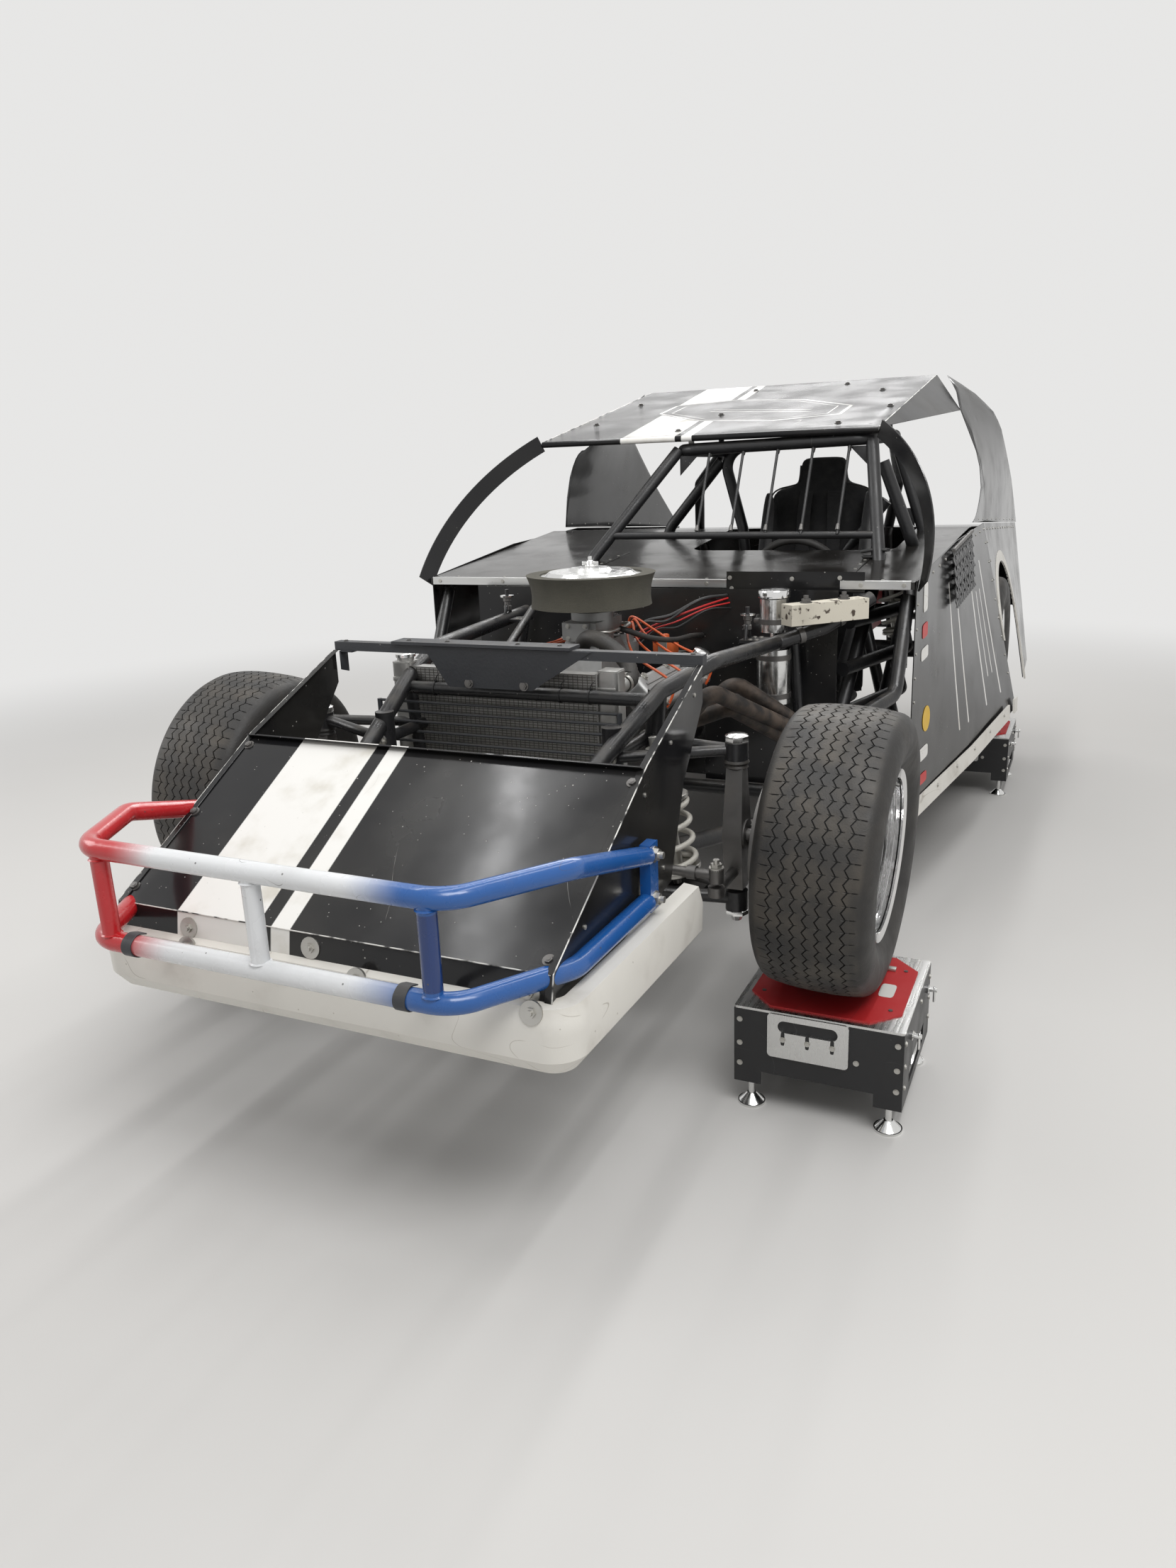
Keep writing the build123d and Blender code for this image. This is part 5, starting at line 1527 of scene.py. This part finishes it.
@dataclass
class DeckTrim(Part):
    """Aluminium lip, screws, seams and the clamp on the deck."""

    lips: Profile = ((-850, 268), (636, 850))
    seams: tuple[float, ...] = (-300, 640)
    rise: float = 0.0824

    def build(self) -> None:
        """Builds the deck's trim."""
        edge, seams = Shape(), Shape()
        for ends in self.lips:
            edge.strap([(x, -403.4, 1122.5) for x in ends], (0, 0, 27), 2.6)
            edge.strap([(x, -394, 1133.8) for x in ends], (0, 18, 1.4), 1.8)
        edge.place("deck_lip", ALUMINIUM)
        holes = [(x, -404.6, z) for x, z in ((280, 1142), (635, 1144), (286, 1108), (484, 1140))]
        holes += [(x, -404.8, 1122) for x in (700, 830, -820, -560, -300, -50, 200)]
        self.fasten("cover_screws", holes, (0, -1, 0), Fixing.SCREW)
        rivets = []
        for x in self.seams:
            line = [(x, y, 1133.6 + (y + 402) * self.rise) for y in (-390, -135, 120)]
            seams.strap(line, (24, 0, 0), 2.6)
            rivets += [(x, y, 1134.8 + (y + 402) * self.rise) for y in range(-360, 120, 80)]
        seams.place("deck_seams", DECK_SHEET)
        rivets += [(x, -370, 1134.5) for x in range(-760, 800, 190)]
        self.fasten("deck_rivets", rivets, (0.0, -0.08, 1.0), Fixing.RIVET)
        body = Shape().box((660, 10, 1172), (74, 46, 8), 2)
        body.strap(((620, 10, 1188), (670, 6, 1196), (710, -2, 1194)), (0, 34, 0), 10)
        body.turned(((0, 10), (16, 10), (20, 7), (21, 0)), (660, 10, 1174), UP, 20)
        body.place("deck_clamp", BLACK_PLASTIC)


@dataclass
class UpperBody(Part):
    """Bolts and worn edges of the roof, rod ends and gussets of the roll cage."""

    bolts: Profile = (
        (-566, 472), (-122, 228), (477, 237), (493, 979), (-560, 950), (-100, 1180), (300, 1210),
        (-60, 560), (600, 560),
    )
    rod: Profile = ((0, 7.5), (6, 7.8), (20, 6), (22, 5.2))
    front: tuple[float, float] = (124, 1595.5)
    rise: float = 0.184

    def build(self) -> None:
        """Builds the upper body's trim."""
        roof = [(x, y, self.front[1] + (y - self.front[0]) * self.rise) for x, y in self.bolts]
        self.fasten("roof_bolts", roof, (0.0, -0.18, 1.0), Fixing.BOLT, DARK_STEEL)
        edge, ends, gussets = Shape(), Shape(), Shape()
        edge.tube([(x, 122.5, 1594) for x in (-642, 642)], 1.8, 8)
        for side in (1, -1):
            edge.tube(((side * 642, 124, 1595), (side * 655, 1330, 1817)), 1.6, 8)
        edge.place("roof_edge_wear", WORN_EDGE)
        for x in range(26, 600, 127):
            for dx, y, z, drop in ((0, 4, 1262, 1), (6, 149, 1540, -1)):
                ends.turned(self.rod, (x + dx, y, z), (0, 0.45 * drop, 0.9 * drop), 16)
        ends.place("rod_ends", DARK_STEEL)
        for x, y, z, run in ((608, 150, 1536, -70), (-88, 150, 1524, 70), (700, 606, 1300, -70)):
            gussets.slab(((x, y, z), (x + run, y, z), (x, y, z - 70)), (0, 4, 0), 1.2)
        gussets.place("cage_gussets", CAGE_BLACK)


@dataclass
class Sails(Part):
    """Roof sails: the left one's front edge is swept and the right one's stands upright."""

    heights: tuple[float, ...] = (1815, 1750, 1665, 1575, 1450, 1355, 1100)
    stations: tuple[tuple[float, tuple[float, ...]], ...] = (
        (690, (650, 716, 780, 832, 878, 898, 906)), (1100, (650, 716, 780, 832, 878, 898, 910)),
        (1700, (758, 843, 891, 899, 910, 920, 926)), (2435, (850, 900, 925, 930, 932, 934, 936)),
    )
    sweep: Point = (673.3, 1689.4, 452.2)
    column_gap: float = 60
    rows: int = 24
    low_edge: Point = (700, 1237.4, -0.0635)
    upright: Profile = ((834, 1232), (850, 1496), (858, 1530), (872, 1549), (898, 1565), (930, 1568))
    crown: Profile = ((1125, 1668), (1340, 1812), (2432, 1130))

    def across(self, y: float, z: float) -> float:
        """Gives the sheet's distance from the car's middle."""
        rows = [(place, between(list(zip(self.heights, reach)), z)) for place, reach in self.stations]
        return between(rows, y)

    def build(self) -> None:
        """Builds both sheets in place of their solids."""
        shape, rivets, aims = Shape(), [], []
        middle, height, radius = self.sweep
        swept = [(y, height - (radius ** 2 - (y - middle) ** 2) ** 0.5) for y in range(700, 1120, 35)]
        for side, front in ((1, swept), (-1, self.upright)):
            edge = (*front, *self.crown)
            columns = []
            for (y0, z0), (y1, z1) in zip(edge, edge[1:]):
                count = max(1, round((y1 - y0) / self.column_gap))
                columns += [
                    (y0 + (y1 - y0) * step / count, z0 + (z1 - z0) * step / count)
                    for step in range(count)
                ]
            rings = []
            for y, top in (*columns, edge[-1]):
                low = self.foot(y)
                heights = [low + (top - low) * step / self.rows for step in range(self.rows + 1)]
                rings.append(shape.ring((side * self.across(y, z), y, z) for z in heights))
            shape.walls(rings, closed=False)
            for y in range(900, 2400, 150):
                z = self.foot(y) + 14.6
                rivets.append((side * (self.across(y, z) + 0.4), y, z))
                aims.append((side, 0, 0.1))
        sheets = put("sail_sheets", shape.mesh("sail_sheets", sharp=60.0), BODY_BLACK)
        wall = sheets.modifiers.new("wall", "SOLIDIFY")
        wall.thickness, wall.offset = 0.002, 0.0
        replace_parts(sheets, "sails")
        self.fasten("sail_rivets", rivets, aims, Fixing.RIVET)

    def foot(self, y: float) -> float:
        """Gives the height of the sheets' lower edge."""
        start, height, slope = self.low_edge
        return height + (y - start) * slope


@dataclass
class Flanks(Part):
    """Rivets and blank stickers on the doors and quarters, and the side skirts' screws."""

    doors: tuple[tuple[float, Point, Point], ...] = (
        (-385, (866, 0, 1134), (868, 0, 366)), (300, (893, 0, 1198), (985, 0, 404)),
        (985, (915, 0, 1216), (1088, 0, 458)), (1700, (925, 0, 1171), (1066, 0, 430)),
        (2435, (933, 0, 1125), (1040, 0, 404)),
    )
    stickers: tuple[tuple[float, float, float, float, Finish], ...] = (
        (-250, 0.10, 60, 90, WHITE_VINYL), (-250, 0.235, 70, 46, RED_VINYL),
        (-250, 0.33, 90, 40, WHITE_VINYL), (-215, 0.62, 84, 84, YELLOW_VINYL),
        (-250, 0.76, 110, 44, WHITE_VINYL), (-250, 0.87, 90, 36, RED_VINYL),
    )

    def spot(self, y: float, share: float, side: int, stand: float = 0.6) -> Point:
        """Finds a point on the side sheets.

        Args:
            y: Place along the car.
            share: 0 at the top edge, 1 at the bottom one.
            side: 1 for the car's left, -1 for its right.
            stand: How far outside the sheet.

        Returns:
            The point in millimetres.
        """
        rows = [(place, Vector(top).lerp(Vector(low), share)) for place, top, low in self.doors]
        x, _, z = between(rows, y)
        return (side * (x + stand), y, z)

    def build(self) -> None:
        """Builds the sides' trim."""
        rivets, screws = [], []
        for side in (1, -1):
            netted = range(110, 570) if side > 0 else ()
            rivets += [self.spot(y, 0.03, side) for y in range(-350, 2400, 110) if y not in netted]
            for y, stop in ((-360, 9), (960, 9), (1010, 4)):
                rivets += [self.spot(y, share / 10, side) for share in range(1, stop)]
            for x, y, z in (self.spot(y, 1.0, side, 10.3) for y in range(-330, 960, 215)):
                screws.append((x, y, z + 36))
        self.fasten("side_rivets", rivets, outward(rivets, 0.1), Fixing.RIVET)
        self.fasten("skirt_screws", screws, outward(screws, 0.1), Fixing.SCREW)
        for number, (y, share, wide, tall, finish) in enumerate(self.stickers):
            reach = self.spot(y, 0.0, 1)[2] - self.spot(y, 1.0, 1)[2]
            outline = [
                self.spot(y + along, share - upward / reach, 1, 0.9)
                for along, upward in bulged(wide, tall, 1.0 if wide == tall else 0.4, 24)
            ]
            Shape().slab(outline, (0.9, 0, 0.1)).place(f"door_sticker_{number}", finish)


@dataclass
class WheelTrim(Part):
    """Polished bead rings inside one wheel, its lug nuts and its valve."""

    corner: str
    outward: int
    lean: float
    beads: Profile = ((46, 163.8), (56, 171.5), (66, 179), (78, 182.8), (93, 182.8))
    edge: Profile = ((-3, 183.5), (0.5, 204), (4, 206.8), (6, 204), (4, 196), (2, 183.5))
    cap: Profile = ((0, 20.5), (3, 23.5), (12, 23.5), (17, 17), (18, 0))
    valve: Line = ((88, 0, 182), (100, 0, 176), (124, 0, 172))
    nut_circle: float = 63.5
    face_x: float = -31.8

    def build(self) -> None:
        """Builds the wheel's trim."""
        turn = Matrix.Rotation(radians(self.lean), 3, "Y")
        middle = sum(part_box(f"tyre_{self.corner}"), Vector()) * 500
        aim = tuple(turn @ Vector((self.outward, 0, 0)))
        body = self.corner + "_wheel"

        def spot(x: float, y: float = 0.0, z: float = 0.0) -> Point:
            """Places a point of the wheel, with x outwards from its middle."""
            return tuple(middle + turn @ Vector((self.outward * x, y, z)))

        rings = Shape()
        for x, radius in self.beads:
            bead = ((-4.2, radius), (-2.2, radius - 3), (2.2, radius - 3), (4.2, radius))
            rings.hoop(bead, spot(x), aim, 72)
        rings.hoop(self.edge, spot(112.5), aim, 96).place(f"rim_rings_{self.corner}", CHROME, body)
        reach = self.nut_circle
        nuts = [spot(self.face_x, reach * cos(a), reach * sin(a)) for a in round_about(5)]
        self.fasten(f"lug_nuts_{self.corner}", nuts, aim, Fixing.LARGE, ZINC, body)
        cap = Shape().turned(self.cap, spot(9.5), aim, 28)
        cap.tube([spot(*place) for place in self.valve], 3.8)
        cap.place(f"hub_cap_{self.corner}", DARK_STEEL, body)


@dataclass
class Stands(Part):
    """Screws, handle slots, pale pad windows, tabs and latch pins of the four stands."""

    spots: Profile = ((865, -1400), (-865, -1400), (860, 1390), (-860, 1390))
    half: float = 198.0
    front_screws: Profile = (
        (-184, 238), (-184, 176), (-184, 122), (184, 238), (184, 176), (184, 122), (92, 176),
    )
    side_screws: Profile = (
        (-180, 238), (-180, 180), (-180, 126), (180, 238), (180, 180), (180, 126), (-60, 200), (40, 236),
    )
    pin: Profile = ((0, 11), (6, 12), (8, 6), (26, 6), (27, 0))

    def build(self) -> None:
        """Builds the stands' trim."""
        screws, aims, pins, pads = [], [], [], []
        windows, tabs, slots, latches = Shape(), Shape(), Shape(), Shape()
        for x, y in self.spots:
            front = y - self.half
            screws += [(x + dx, front - 0.4, z) for dx, z in self.front_screws]
            aims += [(0, -1, 0)] * len(self.front_screws)
            for side in (1, -1):
                screws += [(x + side * (self.half + 0.4), y + dy, z) for dy, z in self.side_screws]
                aims += [(side, 0, 0)] * len(self.side_screws)
            for dx in (-78, -20, 38):
                pins.append((x + dx, front - 8.4, 207))
                slot = [(x + dx + a, front - 8.05, 209 + b) for a, b in bulged(9, 34, 0.4, 28)]
                slots.slab(slot, (0, -0.5, 0))
            pads += [(x + a, y + b, 276.4) for a in (-150, 150) for b in (-108, 108)]
            window = [(x + 126 + a, y - 10 + b, 276.05) for a, b in bulged(36, 70, 0.4, 28)]
            windows.slab(window, (0, 0, 0.5))
            tabs.box((x + 112, y + 104, 280), (30, 16, 8), 1.5)
            for dy in (-118, 128):
                latches.turned(self.pin, (x + self.half, y + dy, 228), (1, 0, 0), 20)
                latches.box((x + self.half + 20, y + dy, 216), (6, 10, 40), 2)
        self.fasten("stand_screws", screws, aims, Fixing.SCREW)
        self.fasten("handle_screws", pins, (0, -1, 0), Fixing.SCREW)
        self.fasten("pad_rivets", pads, UP, Fixing.RIVET, DARK_STEEL)
        slots.place("handle_slots", BLACK_PLASTIC)
        windows.place("pad_windows", PALE_WINDOW)
        tabs.place("pad_tabs", ZINC)
        latches.place("latch_pins", POLISHED)


@dataclass
class Cockpit(Part):
    """Padded seat with piped seams, its belts, and the steering wheel's centre."""

    x: float = 330.0
    y: float = 520.0
    wall_x: float = 198.0
    square: float = 0.55
    crowned: float = 0.8
    back: Line = (
        (590, 0, 205, 26), (600, 2, 209, 34), (700, 20, 204, 36), (900, 62, 196, 38), (1080, 98, 198, 38),
        (1230, 126, 208, 40), (1320, 138, 210, 40), (1362, 142, 200, 38), (1382, 144, 172, 36),
        (1392, 146, 128, 36), (1402, 148, 100, 36), (1430, 152, 93, 34), (1470, 155, 91, 32),
        (1490, 156, 84, 27), (1498, 156, 66, 16),
    )
    base: Line = (
        (-462, 636, 190, 22), (-450, 640, 203, 34), (-380, 632, 207, 40), (-240, 612, 205, 42),
        (-110, 596, 203, 42), (-40, 588, 200, 36), (-26, 586, 186, 24),
    )
    wall: Line = (
        (-440, 700, 30, 14), (-425, 712, 52, 17), (-250, 780, 70, 17), (-110, 880, 90, 17),
        (-40, 1010, 84, 17), (0, 1140, 70, 17), (40, 1250, 60, 17), (74, 1330, 46, 17),
        (84, 1352, 26, 12),
    )
    belt: Line = (
        (0.8, 205, 1330), (0.8, 168, 1394), (0.9, 96, 1352), (1, 66, 1180), (0.8, 40, 960),
        (0.5, -30, 720), (0.3, -110, 660),
    )
    column: Point = (0.0, 0.9272, 0.3746)
    centre: Point = (330, 285, 1058)
    boss: Profile = ((-16, 36), (-10, 38.5), (2, 38.5), (6, 34), (7, 0))

    def build(self) -> None:
        """Builds the driver's place."""
        rings = [((self.x, self.y + y, z), (a, 0, 0), (0, b, b * 0.18)) for z, y, a, b in self.back]
        pads = [self.pillow("seat_back", rings)]
        rings = [((self.x, self.y + y, z), (a, 0, 0), (0, -b * 0.2, b)) for y, z, a, b in self.base]
        pads.append(self.pillow("seat_base", rings))
        for side, label in SIDES:
            x = self.x + side * self.wall_x
            rings = [
                ((x, self.y + y, z), (0, a * 0.55, -a * 0.84), (b, 0, 0)) for y, z, a, b in self.wall
            ]
            pads.append(self.pillow(f"seat_side_{label}", rings))
        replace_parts(pads[0], "seat")
        seams, belts = Shape(), Shape()
        for side in (1, -1):
            seams.tube(flowing([
                (self.x + side * (a - 3), self.y + y - b * 0.72, z) for z, y, a, b in self.back[1:-2]
            ], 4), 3.2, 10)
        seams.place("seat_piping", GRIP)
        for reach in (-62, 62):
            line = [(self.x + reach * share, self.y + y, z) for share, y, z in self.belt]
            belts.strap(flowing(line, 6), (52, 0, 0), 3)
        belts.place("seat_belts", WEBBING)
        body = "steering_wheel"
        Shape().turned(self.boss, self.centre, self.column, 40).place("wheel_centre", GRIP, body)
        axis = Vector(self.column)
        side = axis.orthogonal().normalized()
        screws = [
            Vector(self.centre) + axis * 6.5 + (side * cos(a) + axis.cross(side) * sin(a)) * 26
            for a in round_about(6)
        ]
        self.fasten("wheel_screws", screws, self.column, Fixing.SCREW, ZINC, body)

    def pillow(self, name: str, rings: Sequence[tuple[Point, Point, Point]]) -> bpy.types.Object:
        """Builds a crowned closed pad through rounded sections.

        Args:
            name: Name of the piece.
            rings: Centre, half width and half depth of each section.

        Returns:
            The pad.
        """
        shape = Shape()
        shape.close([
            shape.ring(
                Vector(centre) + Vector(wide) * powered(cos(a), self.square)
                + Vector(deep) * powered(sin(a), self.crowned) for a in round_about(48)
            )
            for centre, wide, deep in rings
        ])
        pad = put(name, shape.mesh(name, sharp=80.0), SEAT_CLOTH)
        round_off = pad.modifiers.new("round", "SUBSURF")
        round_off.levels = round_off.render_levels = 1
        return pad


@dataclass
class WindowNet:
    """Webbing net that hangs folded out over the left door."""

    top: Line = ((903, 120, 1186), (914, 560, 1219))
    low: Line = ((926, 122, 984), (938, 558, 1014))
    columns: int = 11
    rows: int = 6

    def at(self, along: float, down: float, lift: float) -> Vector:
        """Finds a point of the net.

        Args:
            along: 0 at its front edge, 1 at its rear one.
            down: 0 at its top, 1 at its bottom.
            lift: How far it stands off.

        Returns:
            The point in millimetres.
        """
        top, low = (Vector(start).lerp(Vector(stop), along) for start, stop in (self.top, self.low))
        bulge = 3.0 * sin(pi * down) * (0.6 + 0.4 * sin(6.0 * along + 4.0 * down))
        return top.lerp(low, down) + Vector((lift + bulge, 0, 0))

    def build(self) -> None:
        """Builds the net in place of its solid."""
        shape = Shape()
        for number in range(self.rows):
            down = 0.06 + 0.88 * number / (self.rows - 1)
            line = [self.at(step / 44, down, self.weave(step, number)) for step in range(45)]
            shape.strap(line, (10, 0, -23.5), 1.4)
        for number in range(self.columns):
            along = 0.03 + 0.94 * number / (self.columns - 1)
            line = [self.at(along, step / 24, self.weave(step, number)) for step in range(25)]
            shape.strap(line, (0, 25, 1.8), 1.4)
        net = put("door_net", shape.mesh("door_net"), WEBBING)
        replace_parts(net, "window_net")
        rod = [self.at(along, 0.02, 4.0) for along in (0.0, 0.5, 1.0)]
        Shape().tube(rod, 6, 14).place("net_rod", DARK_STEEL)

    def weave(self, step: int, number: int) -> float:
        """Gives how far a strap stands off as it passes over and under the others."""
        return 1.4 if (step // 2 + number) % 2 else -1.4


@dataclass
class Dressing:
    """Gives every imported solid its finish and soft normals."""

    finishes: dict[Finish, str] = field(default_factory=lambda: {
        FRAME_BLACK: "main_frame bay_tubes rear_bumper suspension_arms rear_axle",
        CAGE_BLACK: "roll_cage",
        BUMPER: "front_bumper",
        BAR_GREY: "hood_crossbar radiator_screen",
        DARK_STEEL: "knuckle_left knuckle_right steering_link driveline belt_drive hub",
        PANEL_WORN: "dash firewall",
        NOSE_SHEET: "nose_panel",
        ROOF_SHEET: "roof",
        DECK_SHEET: "deck",
        FLANK_SHEET: "doors",
        BODY_BLACK: "quarters sails tail_panel roof_posts",
        LIP_WHITE: "nose_lip",
        SKIRT_WHITE: "skirts",
        TANK_METAL: "radiator",
        HOSE: "radiator_hose",
        BLOCK_IRON: "engine_block",
        CAST: "intake valve_covers",
        FILTER_FOAM: "air_filter",
        POLISHED: "filter_lid canisters stand_feet",
        HEADER: "headers",
        SEAT_CLOTH: "seat",
        WEBBING: "window_net",
        CELL_RED: "fuel_cell",
        CHIPPED: "ballast_block",
        ZINC: "shocks",
        SPRING_PAINT: "springs",
        STAND_BLACK: "stand_boxes",
        STAND_METAL: "stand_tops",
        PAD_RED: "stand_pads",
        GRIP: "steering_wheel",
        TREAD: "tyre",
        CHROME: "wheel",
    })
    crease: float = 32.0

    def build(self) -> None:
        """Dresses the nodes by their names or, for tyres, wheels and hubs, by their kinds."""
        finishes = {name: finish for finish, names in self.finishes.items() for name in names.split()}
        for name, node in frame["nodes"].items():
            finish = finishes.get(name) or finishes[name.split("_")[0]]
            node.data.materials.clear()
            node.data.materials.append(finish.material())
            smooth_out(node.data)
            node.modifiers.new("weld", "WELD").merge_threshold = 2e-5
            split = node.modifiers.new("split", "EDGE_SPLIT")
            split.split_angle = radians(self.crease)
            split.use_edge_sharp = False


@dataclass
class Studio:
    """Camera, lamps, world and floor."""

    eye: Point = (1.3786, -3.8693, 1.5276)
    right: Point = (0.90843, 0.41628, -0.03832)
    up: Point = (-0.08447, 0.27256, 0.95843)
    forward: Point = (-0.40942, 0.86742, -0.28276)
    lens: float = 25.29
    floor_tone: Tint = tint(0.60, 0.59, 0.575)
    pale: Tint = tint(1.0, 0.995, 0.985)

    def build(self) -> None:
        """Builds the studio."""
        bpy.context.scene.view_settings.view_transform = "Standard"
        self.camera()
        self.world()
        self.floor()
        self.lamps()

    def camera(self) -> None:
        """Places the camera where the photograph was taken from."""
        lens = bpy.data.cameras.new("camera")
        lens.lens = self.lens
        lens.sensor_width = 36.0
        lens.clip_end = 200.0
        camera = bpy.data.objects.new("camera", lens)
        turn = Matrix((self.right, self.up, [-part for part in self.forward])).transposed()
        camera.matrix_world = Matrix.Translation(self.eye) @ turn.to_4x4()
        bpy.context.scene.collection.objects.link(camera)
        bpy.context.scene.camera = camera

    def world(self) -> None:
        """Makes a pale world that lights less than it shows."""
        world = bpy.data.worlds.new("studio")
        bpy.context.scene.world = world
        world.use_nodes = True
        tree = world.node_tree
        tree.nodes.clear()
        path, larger = add_node(tree, "ShaderNodeLightPath").outputs, {"operation": "MAXIMUM"}
        rays = {0: path["Is Camera Ray"], 1: path["Is Transmission Ray"]}
        seen = add_node(tree, "ShaderNodeMath", larger, rays)
        rays = {0: path["Is Glossy Ray"], 1: seen.outputs[0]}
        shown = add_node(tree, "ShaderNodeMath", larger, rays)
        glow = add_node(tree, "ShaderNodeMix", sockets={0: shown.outputs[0], 2: 0.42, 3: 0.80})
        light = {"Color": self.pale, "Strength": glow.outputs[0]}
        back = add_node(tree, "ShaderNodeBackground", sockets=light)
        add_node(tree, "ShaderNodeOutputWorld", sockets={0: back.outputs[0]})

    def floor(self) -> None:
        """Lays a plain pale floor."""
        slab = bmesh.new()
        bmesh.ops.create_grid(slab, x_segments=2, y_segments=2, size=60.0)
        mesh = bpy.data.meshes.new("floor")
        slab.to_mesh(mesh)
        slab.free()
        floor = bpy.data.objects.new("floor", mesh)
        bpy.context.scene.collection.objects.link(floor)
        paint = Shading("floor")
        patch = paint.noise(0.8, 3.0).rise(0.3, 0.8) * 0.3
        tone = paint.mix(patch, self.floor_tone, tint(0.56, 0.55, 0.53))
        away = paint.node("ShaderNodeVectorMath", {"operation": "LENGTH"}, {0: paint.place}, "Value")
        far = away.rise(2.9, 7.0)
        glow = paint.mix(far, tint(0.0, 0.0, 0.0), tint(*(0.80 * part for part in self.pale[:3])))
        tone = paint.mix(far, tone, tint(0.0, 0.0, 0.0))
        mesh.materials.append(paint.done(
            Base_Color=tone, Roughness=0.75, Specular_IOR_Level=0.0, Emission_Color=glow,
            Emission_Strength=1.0,
        ))

    def lamps(self) -> None:
        """Adds the area lamps, each with its place, target, size and watts."""
        for name, place, target, size, watts in (
            ("key", (2.6, -3.6, 4.6), (0.0, -0.6, 0.6), (3.2, 1.6), 150.0),
            ("fill", (-4.8, -2.6, 3.4), (0.0, -0.4, 0.7), (3.0, 2.0), 72.0),
            ("back", (-1.0, 5.2, 4.2), (0.0, 0.6, 0.9), (4.0, 1.2), 110.0),
            ("tube_0", (-1.7, 0.2, 4.4), (-1.7, 0.2, 0.0), (0.22, 5.4), 46.0),
            ("tube_1", (0.1, 0.2, 4.4), (0.1, 0.2, 0.0), (0.22, 5.4), 46.0),
            ("tube_2", (1.9, 0.2, 4.4), (1.9, 0.2, 0.0), (0.22, 5.4), 46.0),
        ):
            light = bpy.data.lights.new(name, "AREA")
            light.shape = "RECTANGLE"
            light.size, light.size_y = size
            light.energy = watts
            lamp = bpy.data.objects.new(name, light)
            lamp.location = place
            lamp.rotation_mode = "QUATERNION"
            lamp.rotation_quaternion = (Vector(target) - Vector(place)).to_track_quat("-Z", "Y")
            bpy.context.scene.collection.objects.link(lamp)


@dataclass
class Tyre:
    """One tyre with a zigzag tread, about its own wheel's axis."""

    corner: str
    lean: float
    periods: int = 68
    grooves: tuple[float, ...] = (-81, -54, -27, 0, 27, 54, 81)
    swing: float = 5.2
    depth: float = 4.2
    shoulder: tuple[Point, ...] = ((108, 0.0, 0.0), (102, 0.3, 2.6), (92, 0.6, 2.6))
    section: Profile = (
        (0, 340), (35, 339.5), (62, 338), (88, 335), (108, 331), (117.5, 326), (124.5, 318.5),
        (130, 308), (134.5, 294), (136.8, 278), (136.6, 264), (134.5, 250), (131, 238), (124, 222),
        (116, 210.5), (114, 207), (100, 190),
    )
    phases: tuple[float, ...] = (0.0, 0.03, 0.07, 0.10, 0.32, 0.55, 0.78)
    sipe: float = 0.05

    def columns(self) -> list[tuple[float, float, float, float]]:
        """Lists the tread's columns from one shoulder to the other.

        Returns:
            For each column its place, its share of the zigzag, its depth and its sipe depth.
        """
        left = [(-x, share, 0.0, sipe) for x, share, sipe in self.shoulder]
        right = [(x, share, 0.0, sipe) for x, share, sipe in reversed(self.shoulder)]
        middle = [
            (place + shift, 1.0, sunk, sipe) for place in self.grooves for shift, sunk, sipe in (
                (-8.5, 0.0, 0.0), (-1.9, 0.0, 2.2), (-1.3, self.depth, 0.0), (1.3, self.depth, 0.0),
                (1.9, 0.0, 2.2), (8.5, 0.0, 0.0),
            )
        ]
        return left + middle + right

    def build(self) -> None:
        """Builds the tyre in place of its solid."""
        low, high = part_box(f"tyre_{self.corner}")
        place = Matrix.Translation((low + high) / 2) @ Matrix.Rotation(radians(self.lean), 4, "Y")
        wall = [row for row in self.section if row[0] > 108 or row[1] < 330]
        crown = self.section[:5]
        shape = Shape()
        # The face layer is 1 on the tread tops and 0 in the grooves and sipes, where the tread material
        # paints shade.
        face, side = (shape.work.verts.layers.float.new(name) for name in ("face", "wall"))
        rings = []
        for period in range(self.periods):
            for phase in self.phases:
                angle = 2 * pi * (period + phase) / self.periods
                share = (phase - self.sipe) % 1.0
                zig = 1 - 4 * share if share < 0.5 else 4 * share - 3
                row = [(-x, r, 1.0, 1.0) for x, r in reversed(wall)]
                for x, part, sunk, sipe in self.columns():
                    across = x + zig * self.swing * part
                    down = max(sunk, sipe if abs(phase - self.sipe) < 0.03 else 0.0)
                    row.append((across, between(crown, abs(across)) - down, float(down == 0), 0.0))
                ring = []
                for x, r, top, flank in (*row, *((x, r, 1.0, 1.0) for x, r in wall)):
                    spot = Vector((x, r * cos(angle), r * sin(angle))) / 1000
                    vert = shape.work.verts.new(place @ spot)
                    vert[face], vert[side] = top, flank
                    ring.append(vert)
                rings.append(ring)
        shape.walls(rings + rings[:1])
        name = "tread_" + self.corner
        mesh = shape.mesh(name, sharp=38.0)
        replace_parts(put(name, mesh, TREAD, self.corner + "_wheel"), "tyre_" + self.corner)


def main() -> None:
    """Builds the dressed car and its studio."""
    logging.basicConfig(level=logging.INFO, format="%(name)s: %(message)s")
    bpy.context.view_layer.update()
    Studio().build()
    Dressing().build()
    fasteners = Fasteners()
    Cooling(Fins()).build()
    for part in (
        Nose, Bumpers, Crossbar, EngineTop, BayHardware, Suspension, DeckTrim, UpperBody, Sails,
        Flanks, Stands, Cockpit,
    ):
        part(fasteners).build()
    WindowNet().build()
    for corner, side, lean in (
        ("front_left", 1, 2.5), ("front_right", -1, 4.5), ("rear_left", 1, 0.0), ("rear_right", -1, 0.0),
    ):
        Tyre(corner, lean).build()
        WheelTrim(fasteners, corner, side, lean).build()
    log.info("sizes written")


if __name__ == "__main__":
    main()
